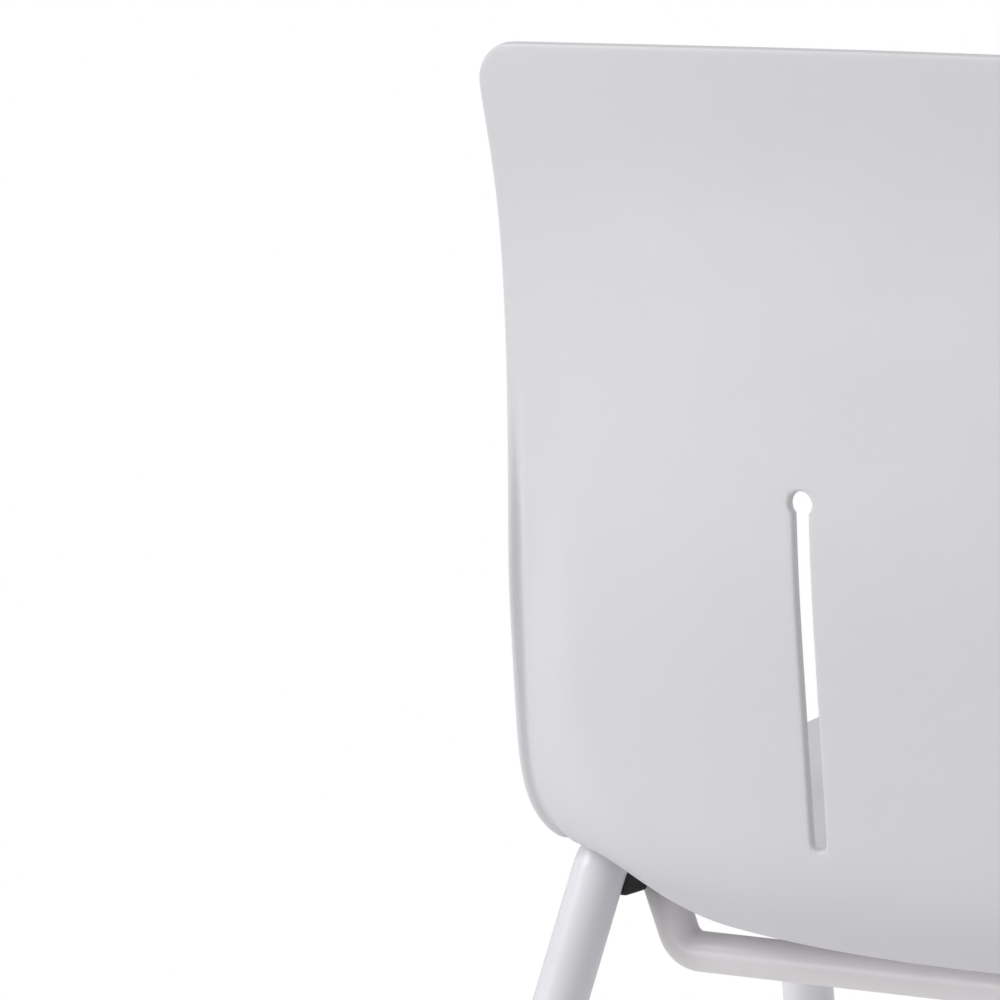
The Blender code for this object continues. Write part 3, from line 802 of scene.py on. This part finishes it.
def all_rows(edge_round):
    """Positions along the shell, closer round the ends of the slots and at both edges."""
    edge = edge_steps(edge_round)
    neck = math.acos(SLOT_RADIUS / KEYHOLE_RADIUS)
    low = list(reversed(edge[1:]))
    low += stations(edge_round, (FRONT_CORNER_RADIUS, FRONT_CELL),
                    (SLOT_LOW - SLOT_MARGIN, COARSE_CELL), (SLOT_LOW - edge_round, FINE_CELL))
    low += [SLOT_LOW - d for d in edge[1:-1]]
    low += stations(SLOT_LOW, (SLOT_HEAD - KEYHOLE_RADIUS - FINE_CELL, COARSE_CELL))
    head = [SLOT_HEAD - KEYHOLE_RADIUS * math.sin(neck * (NECK_ROWS - step) / NECK_ROWS)
            for step in range(NECK_ROWS)]
    high = [SLOT_HEAD + d for d in reversed(edge[1:])]
    high += stations(SLOT_HEAD + edge_round, (SLOT_HEAD + SLOT_MARGIN, FINE_CELL),
                     (SHELL_LENGTH - TOP_CORNER_RADIUS, COARSE_CELL),
                     (SHELL_LENGTH - edge_round, FINE_CELL))
    return low + head + high + [SHELL_LENGTH - d for d in edge[1:]]


def around_slot(x, s):
    """Moves a flat grid's point so that the lines run round the keyhole's ends."""
    side = math.copysign(1.0, x)
    across = abs(x) - SLOT_X
    if abs(across) > SLOT_FADE or not SLOT_LOW - SLOT_FADE < s < SLOT_HEAD + SLOT_FADE:
        return x, s
    part = min(abs(across) / SLOT_RADIUS, 1.0)
    dome = math.sqrt(1.0 - part * part)
    if s > SLOT_HEAD - MERGE_DISTANCE:
        fade = 1.0 - smootherstep((s - SLOT_HEAD) / SLOT_FADE)
        opening = SLOT_RADIUS + (KEYHOLE_RADIUS - SLOT_RADIUS) * fade
        moved_s = s + KEYHOLE_RADIUS * dome * fade
    else:
        below = SLOT_HEAD - s
        opening = math.sqrt(max(KEYHOLE_RADIUS ** 2 - below ** 2, SLOT_RADIUS ** 2))
        fade = 1.0 - smootherstep((SLOT_LOW - s) / SLOT_FADE)
        moved_s = s - SLOT_RADIUS * dome * fade if s < SLOT_LOW + MERGE_DISTANCE else s
    if abs(across) <= SLOT_RADIUS:
        across *= opening / SLOT_RADIUS
    else:
        spread = 1.0 - smootherstep((abs(across) - SLOT_RADIUS) / SLOT_MARGIN)
        across += math.copysign((opening - SLOT_RADIUS) * spread, across)
    return side * (SLOT_X + across), moved_s


def round_corner(a, b):
    """Maps the unit square's corner (1, 1) onto a quarter circle."""
    if a <= 0.0 or b <= 0.0:
        return a, b
    return a * math.sqrt(1.0 - b * b / 2.0), b * math.sqrt(1.0 - a * a / 2.0)


def grid_place(column, s):
    """The flat place of a grid point: round the slots, out to the rim, round the corners."""
    column, s = around_slot(column, s)
    side = math.copysign(1.0, column)
    reach = abs(column)
    width = half_width(s)
    if reach > COLUMN_FIXED:
        part = (reach - COLUMN_FIXED) / (HEEL_HALF_WIDTH - COLUMN_FIXED)
        reach = COLUMN_FIXED + (width - COLUMN_FIXED) * part
    for corner, distance, towards in ((FRONT_CORNER_RADIUS, s, -1.0),
                                      (TOP_CORNER_RADIUS, SHELL_LENGTH - s, 1.0)):
        a = (reach - (width - corner)) / corner
        b = (corner - distance) / corner
        if a > 0.0 and b > 0.0:
            a, b = round_corner(a, b)
            moved = s + towards * (b * corner - (corner - distance))
            return side * (half_width(moved) - corner + a * corner), moved
    return side * reach, s


def edge_distance(x, s):
    """How far a flat place lies from the nearest edge, of the rim or of a slot."""
    width = half_width(s)
    rim = min(width - abs(x), s, SHELL_LENGTH - s)
    for corner, along in ((FRONT_CORNER_RADIUS, s), (TOP_CORNER_RADIUS, SHELL_LENGTH - s)):
        a, b = abs(x) - (width - corner), corner - along
        if a > 0.0 and b > 0.0:
            rim = corner - math.hypot(a, b)
    across = abs(x) - SLOT_X
    past_end = s - min(max(s, SLOT_LOW), SLOT_HEAD)
    slot = math.hypot(across, past_end) - SLOT_RADIUS
    keyhole = math.hypot(across, s - SLOT_HEAD) - KEYHOLE_RADIUS
    return max(min(rim, slot, keyhole), 0.0)


def wall_point(x, s, inner, wall, edge_round):
    """A point of the outer or the inner face, drawn together where the edges are rounded."""
    point = shell_point(x, s)
    along = shell_point(x, s + PROBE) - shell_point(x, s - PROBE)
    over = shell_point(x + PROBE, s) - shell_point(x - PROBE, s)
    inward = over.cross(along).normalized()
    short = max(edge_round - edge_distance(x, s), 0.0)
    drop = edge_round - math.sqrt(edge_round ** 2 - short ** 2)
    return point + inward * (wall - drop - groove(x, s) if inner else drop)


def even_corners(bm, edge_round):
    """Relaxes the flat grid inside the rounded corners, whose edges stay."""
    near = []
    for vert in bm.verts:
        x, s = abs(vert.co.x), vert.co.y
        for corner, along in ((FRONT_CORNER_RADIUS, s), (TOP_CORNER_RADIUS, SHELL_LENGTH - s)):
            if (along < CORNER_EASE * corner and half_width(s) - x < CORNER_EASE * corner
                    and edge_distance(x, s) > 2.0 * edge_round):
                near.append(vert)
    for _step in range(CORNER_PASSES):
        bmesh.ops.smooth_vert(bm, verts=near, factor=0.5, use_axis_x=True, use_axis_y=True)


def shell_body(wall, edge_round):
    """The shell: a flat slab with its slots, bent to shape, its edges rounded."""
    half = half_columns(edge_round)
    columns = [-x for x in reversed(half[1:])] + half
    rows = all_rows(edge_round)
    bm = bmesh.new()
    bmesh.ops.create_grid(bm, x_segments=len(columns) - 1, y_segments=len(rows) - 1, size=0.5)
    for vert in bm.verts:
        column = columns[round((vert.co.x + 0.5) * (len(columns) - 1))]
        vert.co = (column, rows[round((vert.co.y + 0.5) * (len(rows) - 1))], 0.0)
    inside = []
    for face in bm.faces:
        middle = face.calc_center_median()
        if abs(abs(middle.x) - SLOT_X) < SLOT_RADIUS and SLOT_LOW < middle.y < SLOT_HEAD:
            inside.append(face)
    bmesh.ops.delete(bm, geom=inside, context="FACES")
    for vert in bm.verts:
        vert.co = (*grid_place(vert.co.x, vert.co.y), 0.0)
    even_corners(bm, edge_round)
    bmesh.ops.solidify(bm, geom=bm.faces[:], thickness=wall)
    for vert in bm.verts:
        inner = abs(vert.co.z) > wall / 2.0
        vert.co = wall_point(vert.co.x, vert.co.y, inner, wall, edge_round)
    return bm


# ---------------------------------------------------------------- pieces

class CHAIR_OT_shell(bpy.types.Operator):
    """Make the one-piece seat and back, with its wall, rounded rim and two keyhole slots"""
    bl_idname = "chair.shell"
    bl_label = "Make shell"

    def execute(self, context):
        settings = context.scene.chair_shell
        body = shell_body(settings.wall, settings.edge_round)
        add_piece("moulded_shell", body, "shell_plastic", "shell", "shell")
        return {"FINISHED"}


class CHAIR_OT_bosses(bpy.types.Operator):
    """Make the four bosses under the seat that hold the threaded inserts"""
    bl_idname = "chair.bosses"
    bl_label = "Make bosses"

    def execute(self, context):
        for place, _sx, _sy in PLACES:
            low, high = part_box("threaded_insert_" + place)
            x, y = middle_of(low, high)
            hole = (high.x - low.x) / 2.0 + FIT_GAP
            top = underside_height(abs(x), y) + context.scene.chair_shell.wall / 2.0
            face = low.z
            flare = [(BOSS_RADIUS + outward, top - below) for outward, below in BOSS_FLARE]
            profile = [(hole, top), (hole, face + BOSS_EDGE), (hole + BOSS_EDGE, face),
                       (BOSS_RADIUS - BOSS_EDGE, face), (BOSS_RADIUS, face + BOSS_EDGE)]
            profile += flare + [(hole, top)]
            bm = spun(profile, Matrix.Translation((x, y, 0.0)))
            add_piece("shell_boss_" + place, bm, "shell_plastic", "shell")
        return {"FINISHED"}


class CHAIR_OT_side_frames(bpy.types.Operator):
    """Make the two bent side frames, each one tube with two legs and a rail"""
    bl_idname = "chair.side_frames"
    bl_label = "Make side frames"

    def execute(self, context):
        settings = context.scene.chair_frame
        for label, side in SIDES:
            tube = add_piece("frame_tube_" + label, frame_skin(side, settings.tube_radius),
                             "frame_powder_coat", "frame", "side_frame_" + label)
            wall_inward(tube, settings.tube_wall)
            round_edges(tube, TUBE_END_ROUND, 2, 60.0)
        return {"FINISHED"}


class CHAIR_OT_crossbars(bpy.types.Operator):
    """Make the dropped crossbars, coped to the rails, with a weld bead at each end"""
    bl_idname = "chair.crossbars"
    bl_label = "Make crossbars"

    def execute(self, context):
        settings = context.scene.chair_frame
        height = bar_height()
        root_x = RAIL_HALF_SPACING - BAR_ROOT_INSET
        foot_x = root_x - BAR_LEAN * (RAIL_HEIGHT - height)
        for label, _end in ENDS:
            y = bar_y(label)
            corners = [Vector((-root_x, y, RAIL_HEIGHT)), Vector((-foot_x, y, height)),
                       Vector((foot_x, y, height)), Vector((root_x, y, RAIL_HEIGHT))]
            arms = ((corners[3], corners[2]), (corners[0], corners[1]))
            bm = bent_tube(corners, BAR_BEND_RADIUS, settings.bar_radius, BAR_SIDES)
            self.cope_ends(bm, arms, settings.tube_radius + FIT_GAP)
            # The bar's coat has the shade under the seat painted into its colour.
            bar = add_piece("crossbar_" + label, bm, "crossbar_painted_shade_coat", "frame",
                            label + "_crossbar")
            wall_inward(bar, BAR_WALL)
            for (side_label, side), (corner, inner) in zip(SIDES, arms):
                self.make_weld(f"bar_weld_{label}_{side_label}", corner, inner, side)
        return {"FINISHED"}

    def cope_ends(self, bm, arms, radius):
        """Slides the end rings along the arms until they lie on the rails."""
        rings = {vert for edge in bm.edges if edge.is_boundary for vert in edge.verts}
        for vert in rings:
            side = 1 if vert.co.x > 0.0 else -1
            corner, inner = arms[0] if side > 0 else arms[1]
            direction = (corner - inner).normalized()
            start = vert.co - direction * ARM_SEARCH
            vert.co = rail_surface(start, direction, side, radius)

    def make_weld(self, name, corner, inner, side):
        """A bead of even ripples round the joint of a bar and a rail."""
        settings = bpy.context.scene.chair_frame
        direction = (corner - inner).normalized()
        across = Vector((0.0, 1.0, 0.0))
        other = direction.cross(across)
        points = []
        for step in range(WELD_STEPS):
            angle = math.tau * step / WELD_STEPS
            around = (across * math.cos(angle) + other * math.sin(angle)) * settings.bar_radius
            start = corner + around - direction * ARM_SEARCH
            hit = rail_surface(start, direction, side, settings.tube_radius)
            ripple = 1.0 + WELD_RIPPLE_SHARE * math.sin(WELD_RIPPLES * angle)
            standoff = around.normalized() * settings.weld_size * WELD_STANDOFF_SHARE
            points.append((hit + standoff, settings.weld_size * ripple))
        make_bead(name, points, True)


class CHAIR_OT_plates(bpy.types.Operator):
    """Make the four mounting plates and the beads that weld them to the crossbars"""
    bl_idname = "chair.plates"
    bl_label = "Make mounting plates"

    def execute(self, context):
        for place, _sx, _sy in PLACES:
            node = "mount_plate_" + place
            low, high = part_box(node)
            size, centre = high - low, (high + low) / 2.0
            bm = block(low, high)
            upright = [edge for edge in bm.edges
                       if abs(edge.verts[0].co.z - edge.verts[1].co.z) > size.z / 2.0]
            bevel_edges(bm, upright, PLATE_CORNER, CORNER_STEPS)
            hole_x, hole_y = middle_of(*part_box("shell_screw_" + place))
            hole = rod(hole_x, hole_y, centre.z, SCREW_RADIUS + FIT_GAP, 4.0 * size.z, HOLE_SIDES)
            plate = add_piece("seat_plate_" + place, cut_away(bm, hole), "frame_powder_coat",
                              "frame", node)
            round_edges(plate, PLATE_EDGE_ROUND, 3)
            self.weld_plate(place, low, high)
        return {"FINISHED"}

    def weld_plate(self, place, low, high):
        """Two beads along a plate: one at its rear edge and one under it, beside the crossbar."""
        settings = bpy.context.scene.chair_frame
        bead = settings.weld_size * PLATE_BEAD_SHARE
        rear_line = (high.y + bead * PLATE_BEAD_REAR_SHARE, low.z - FIT_GAP)
        under_line = (high.y - settings.bar_radius * PLATE_BEAD_UNDER_BAR_SHARE,
                      low.z - bead * PLATE_BEAD_DROP_SHARE)
        middle, reach = (high.x + low.x) / 2.0, (high.x - low.x) / 2.0 - PLATE_CORNER
        for label, (y, z) in (("rear", rear_line), ("under", under_line)):
            points = []
            for step in range(PLATE_BEAD_STEPS + 1):
                x = middle + reach * (2.0 * step / PLATE_BEAD_STEPS - 1.0)
                from_end = min(step, PLATE_BEAD_STEPS - step) / PLATE_BEAD_TIP_STEPS
                swell = min(1.0, PLATE_BEAD_TIP_SHARE + from_end)
                ripple = 1.0 + PLATE_BEAD_RIPPLE_SHARE * math.sin(step * PLATE_BEAD_RIPPLE_TURN)
                points.append((Vector((x, y, z)), bead * swell * ripple))
            make_bead(f"plate_weld_{label}_{place}", points, False)


def make_bead(name, points, cyclic):
    """A weld bead along (point, radius) stations: a closed ring, or a line with closed ends."""
    curve = bpy.data.curves.new(name, "CURVE")
    curve.dimensions = "3D"
    curve.bevel_depth = 1.0
    curve.bevel_resolution = 3
    curve.use_fill_caps = True
    spline = curve.splines.new("POLY")
    spline.use_cyclic_u = cyclic
    spline.points.add(len(points) - 1)
    for spline_point, (point, radius) in zip(spline.points, points):
        spline_point.co = (*point, 1.0)
        spline_point.radius = radius
    helper = bpy.data.objects.new(name + "_line", curve)
    bpy.context.scene.collection.objects.link(helper)
    evaluated = helper.evaluated_get(bpy.context.evaluated_depsgraph_get())
    mesh = bpy.data.meshes.new_from_object(evaluated)
    bm = bmesh.new()
    bm.from_mesh(mesh)
    bpy.data.objects.remove(helper, do_unlink=True)
    bmesh.ops.remove_doubles(bm, verts=bm.verts, dist=MERGE_DISTANCE)
    # The beads take the crossbars' coat, with its painted shade.
    add_piece(name, bm, "crossbar_painted_shade_coat", "frame")


class CHAIR_OT_screws(bpy.types.Operator):
    """Make the button-head screws, each with a hexagon socket"""
    bl_idname = "chair.screws"
    bl_label = "Make screws"

    def execute(self, context):
        for place, _sx, _sy in PLACES:
            low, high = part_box("shell_screw_" + place)
            x, y = middle_of(low, high)
            head = (high.x - low.x) / 2.0
            seat = low.z + SCREW_HEAD_HEIGHT
            flat, band = head * HEAD_FLAT_SHARE, seat - HEAD_BAND_HEIGHT
            dome = [(flat + (head - flat) * math.sin(angle),
                     band - (SCREW_HEAD_HEIGHT - HEAD_BAND_HEIGHT) * math.cos(angle))
                    for angle in reversed(quarter_turn())]
            profile = [(0.0, high.z), (SCREW_RADIUS - SCREW_TIP_CHAMFER, high.z),
                       (SCREW_RADIUS, high.z - SCREW_TIP_CHAMFER), (SCREW_RADIUS, seat),
                       (head, seat)] + dome + [(0.0, low.z)]
            bm = spun(profile, Matrix.Translation((x, y, 0.0)))
            socket = rod(x, y, low.z, SOCKET_WIDTH / 2.0, 2.0 * SOCKET_DEPTH, 6)
            screw = add_piece("button_screw_" + place, cut_away(bm, socket), "zinc_plated_steel",
                              "steel", "shell_screw_" + place)
            round_edges(screw, SCREW_EDGE_ROUND, 2, 50.0)
        return {"FINISHED"}


class CHAIR_OT_inserts(bpy.types.Operator):
    """Make the knurled brass inserts inside the bosses"""
    bl_idname = "chair.inserts"
    bl_label = "Make threaded inserts"

    def execute(self, context):
        knurls = context.scene.chair_fixings.knurl_count
        for place, _sx, _sy in PLACES:
            low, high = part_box("threaded_insert_" + place)
            x, y = middle_of(low, high)
            outer = (high.x - low.x) / 2.0
            bore = SCREW_RADIUS + FIT_GAP
            waist = outer - INSERT_GROOVE_DEPTH
            middle = (low.z + high.z) / 2.0
            across, along = INSERT_END_CHAMFER
            profile = ((bore, low.z), (outer - across, low.z), (outer, low.z + along),
                       (outer, middle - INSERT_GROOVE_TOP), (waist, middle - INSERT_GROOVE_FLOOR),
                       (waist, middle + INSERT_GROOVE_FLOOR), (outer, middle + INSERT_GROOVE_TOP),
                       (outer, high.z - along), (outer - across, high.z), (bore, high.z),
                       (bore, low.z))
            bm = spun(profile, Matrix.Identity(4), 2 * knurls)
            for vert in bm.verts:
                turn = math.atan2(vert.co.y, vert.co.x) / math.tau * 2 * knurls
                if round(turn) % 2 and vert.co.xy.length > waist:
                    vert.co.xy *= KNURL_VALLEY_SHARE
            bmesh.ops.translate(bm, vec=(x, y, 0.0), verts=bm.verts)
            insert = add_piece("brass_insert_" + place, bm, "plain_brass", "brass",
                               "threaded_insert_" + place)
            insert.data.set_sharp_from_angle(angle=CREASE)
        return {"FINISHED"}


class CHAIR_OT_bumpers(bpy.types.Operator):
    """Make the black stacking bumpers, hollowed to sit under the rail beside each knee"""
    bl_idname = "chair.bumpers"
    bl_label = "Make stacking bumpers"

    def execute(self, context):
        tube_radius = context.scene.chair_frame.tube_radius
        rounding = context.scene.chair_fixings.bumper_round
        for place, sx, _sy in PLACES:
            node = "stacking_bumper_" + place
            low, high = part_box(node)
            high.z = RAIL_HEIGHT
            bm = block(low, high)
            middle = (low.z + high.z) / 2.0
            lower = [edge for edge in bm.edges if min(v.co.z for v in edge.verts) < middle]
            bevel_edges(bm, lower, rounding, BUMPER_STEPS)
            cutter = frame_skin(sx, tube_radius + FIT_GAP)
            bmesh.ops.holes_fill(cutter, edges=cutter.edges)
            bumper = add_piece("black_bumper_" + place, cut_away(bm, cutter), "black_nylon",
                               "black_nylon", node)
            bumper.data.set_sharp_from_angle(angle=CREASE)
        return {"FINISHED"}


class CHAIR_OT_glides(bpy.types.Operator):
    """Make the foot glides, plugged into the legs and cut level with the floor"""
    bl_idname = "chair.glides"
    bl_label = "Make foot glides"

    def execute(self, context):
        settings = context.scene.chair_frame
        plug = settings.tube_radius - settings.tube_wall - FIT_GAP
        plug_profile = [(0.0, GLIDE_PLUG_LENGTH), (plug - GLIDE_EDGE, GLIDE_PLUG_LENGTH),
                        (plug, GLIDE_PLUG_LENGTH - GLIDE_EDGE), (plug, -FIT_GAP)]
        rounding = [(GLIDE_RADIUS - GLIDE_EDGE + GLIDE_EDGE * math.sin(angle),
                     -FIT_GAP - GLIDE_EDGE + GLIDE_EDGE * math.cos(angle))
                    for angle in quarter_turn()]
        line_floor = GLIDE_RADIUS - GLIDE_LINE_DEPTH
        line = [(GLIDE_RADIUS, -GLIDE_LINE_TOP), (line_floor, -GLIDE_LINE_TOP - GLIDE_LINE_SLOPE),
                (line_floor, -GLIDE_LINE_BOTTOM + GLIDE_LINE_SLOPE),
                (GLIDE_RADIUS, -GLIDE_LINE_BOTTOM)]
        foot = [(GLIDE_RADIUS, -2.0 * GLIDE_HEIGHT), (0.0, -2.0 * GLIDE_HEIGHT)]
        profile = plug_profile + rounding + line + foot
        for place, sx, sy in PLACES:
            base = leg_point(sx, sy, GLIDE_HEIGHT)
            axis = frame_point(sx, sy * KNEE_OFFSET, 0.0) - base
            turn = axis.to_track_quat("Z", "Y").to_matrix().to_4x4()
            bm = spun(profile, Matrix.Translation(base) @ turn)
            geometry = bm.verts[:] + bm.edges[:] + bm.faces[:]
            bmesh.ops.bisect_plane(bm, geom=geometry, plane_co=(0, 0, 0), plane_no=(0, 0, 1),
                                   clear_inner=True)
            bmesh.ops.holes_fill(bm, edges=bm.edges)
            glide = add_piece("floor_glide_" + place, bm, "glide_nylon", "glide",
                              "foot_glide_" + place)
            round_edges(glide, GLIDE_EDGE_ROUND, 3, 50.0)
        return {"FINISHED"}


# ---------------------------------------------------------------- stage

class CHAIR_OT_stage(bpy.types.Operator):
    """Make the pale floor, the soft lights, the even sky and the camera"""
    bl_idname = "chair.stage"
    bl_label = "Make stage"

    def execute(self, context):
        settings = context.scene.chair_stage
        self.make_floor()
        self.make_sky(settings.sky_strength)
        self.make_lamp("key_light", *KEY_LIGHT, settings.key_power)
        self.make_lamp("fill_light", *FILL_LIGHT, settings.fill_power)
        self.make_lamp("front_light", *FRONT_LIGHT, settings.front_power)
        self.make_camera(settings.lens)
        context.scene.view_settings.view_transform = "Standard"
        return {"FINISHED"}

    def make_floor(self):
        """A floor that takes the chair's shadow and fades to plain white away from it."""
        bm = bmesh.new()
        bmesh.ops.create_grid(bm, x_segments=8, y_segments=8, size=FLOOR_SIZE)
        mesh = bpy.data.meshes.new("floor")
        bm.to_mesh(mesh)
        bm.free()
        floor = bpy.data.objects.new("floor", mesh)
        bpy.context.scene.collection.objects.link(floor)
        material = make_material("floor_white", (0.88, 0.88, 0.88), 0.9)
        nodes, links = material.node_tree.nodes, material.node_tree.links
        place = nodes.new("ShaderNodeTexCoord")
        distance = nodes.new("ShaderNodeVectorMath")
        distance.operation = "LENGTH"
        fade = nodes.new("ShaderNodeMapRange")
        fade.inputs["From Min"].default_value = FLOOR_SHADOW_END
        fade.inputs["From Max"].default_value = FLOOR_WHITE_START
        path = nodes.new("ShaderNodeLightPath")
        seen = nodes.new("ShaderNodeMath")
        seen.operation = "MULTIPLY"
        white = nodes.new("ShaderNodeEmission")
        mix = nodes.new("ShaderNodeMixShader")
        links.new(place.outputs["Object"], distance.inputs[0])
        links.new(distance.outputs["Value"], fade.inputs["Value"])
        links.new(fade.outputs["Result"], seen.inputs[0])
        links.new(path.outputs["Is Camera Ray"], seen.inputs[1])
        links.new(seen.outputs["Value"], mix.inputs["Fac"])
        links.new(nodes["Principled BSDF"].outputs["BSDF"], mix.inputs[1])
        links.new(white.outputs["Emission"], mix.inputs[2])
        links.new(mix.outputs["Shader"], nodes["Material Output"].inputs["Surface"])
        mesh.materials.append(material)

    def make_sky(self, strength):
        """Even light all round, white where the camera sees it."""
        world = bpy.data.worlds.new("studio")
        bpy.context.scene.world = world
        world.use_nodes = True
        nodes, links = world.node_tree.nodes, world.node_tree.links
        path = nodes.new("ShaderNodeLightPath")
        level = nodes.new("ShaderNodeMapRange")
        level.inputs["To Min"].default_value = strength
        level.inputs["To Max"].default_value = 1.0
        background = nodes["Background"]
        background.inputs["Color"].default_value = (1.0, 1.0, 1.0, 1.0)
        links.new(path.outputs["Is Camera Ray"], level.inputs["Value"])
        links.new(level.outputs["Result"], background.inputs["Strength"])

    def make_lamp(self, name, location, size, power):
        lamp = bpy.data.lights.new(name, "AREA")
        lamp.shape = "DISK"
        lamp.size = size
        lamp.energy = power
        holder = bpy.data.objects.new(name, lamp)
        bpy.context.scene.collection.objects.link(holder)
        holder.location = location
        aim = Vector(LIGHT_TARGET) - holder.location
        holder.rotation_euler = aim.to_track_quat("-Z", "Y").to_euler()

    def make_camera(self, lens):
        camera = bpy.data.cameras.new("camera")
        camera.lens = lens
        camera.sensor_width = 36.0
        holder = bpy.data.objects.new("camera", camera)
        bpy.context.scene.collection.objects.link(holder)
        holder.location = CAMERA_PLACE
        holder.rotation_euler = Euler((CAMERA_PITCH, 0.0, CAMERA_HEADING))
        bpy.context.scene.camera = holder


# ---------------------------------------------------------------- add-on

SETTINGS = (
    ("chair_shell", ShellSettings, "Shell"),
    ("chair_frame", FrameSettings, "Frame"),
    ("chair_fixings", FixingSettings, "Fixings"),
    ("chair_stage", StageSettings, "Stage"),
)
OPERATORS = (CHAIR_OT_shell, CHAIR_OT_bosses, CHAIR_OT_side_frames, CHAIR_OT_crossbars,
             CHAIR_OT_plates, CHAIR_OT_screws, CHAIR_OT_inserts, CHAIR_OT_bumpers,
             CHAIR_OT_glides, CHAIR_OT_stage)


class CHAIR_PT_build(bpy.types.Panel):
    """Sizes, colours and one button for each group of pieces"""
    bl_idname = "CHAIR_PT_build"
    bl_label = "Stacking chair"
    bl_space_type = "VIEW_3D"
    bl_region_type = "UI"
    bl_category = "Chair"

    def draw(self, context):
        for attribute, group, title in SETTINGS:
            box = self.layout.box()
            box.label(text=title)
            for name in group.__annotations__:
                box.prop(getattr(context.scene, attribute), name)
        for operator in OPERATORS:
            self.layout.operator(operator.bl_idname)


def register():
    for attribute, group, _title in SETTINGS:
        bpy.utils.register_class(group)
        setattr(bpy.types.Scene, attribute, PointerProperty(type=group))
    for cls in OPERATORS + (CHAIR_PT_build,):
        bpy.utils.register_class(cls)


def unregister():
    for cls in reversed(OPERATORS + (CHAIR_PT_build,)):
        bpy.utils.unregister_class(cls)
    for attribute, group, _title in reversed(SETTINGS):
        delattr(bpy.types.Scene, attribute)
        bpy.utils.unregister_class(group)


def main():
    register()
    bpy.ops.chair.shell()
    bpy.ops.chair.bosses()
    bpy.ops.chair.side_frames()
    bpy.ops.chair.crossbars()
    bpy.ops.chair.plates()
    bpy.ops.chair.screws()
    bpy.ops.chair.inserts()
    bpy.ops.chair.bumpers()
    bpy.ops.chair.glides()
    bpy.ops.chair.stage()


if __name__ == "__main__":
    main()
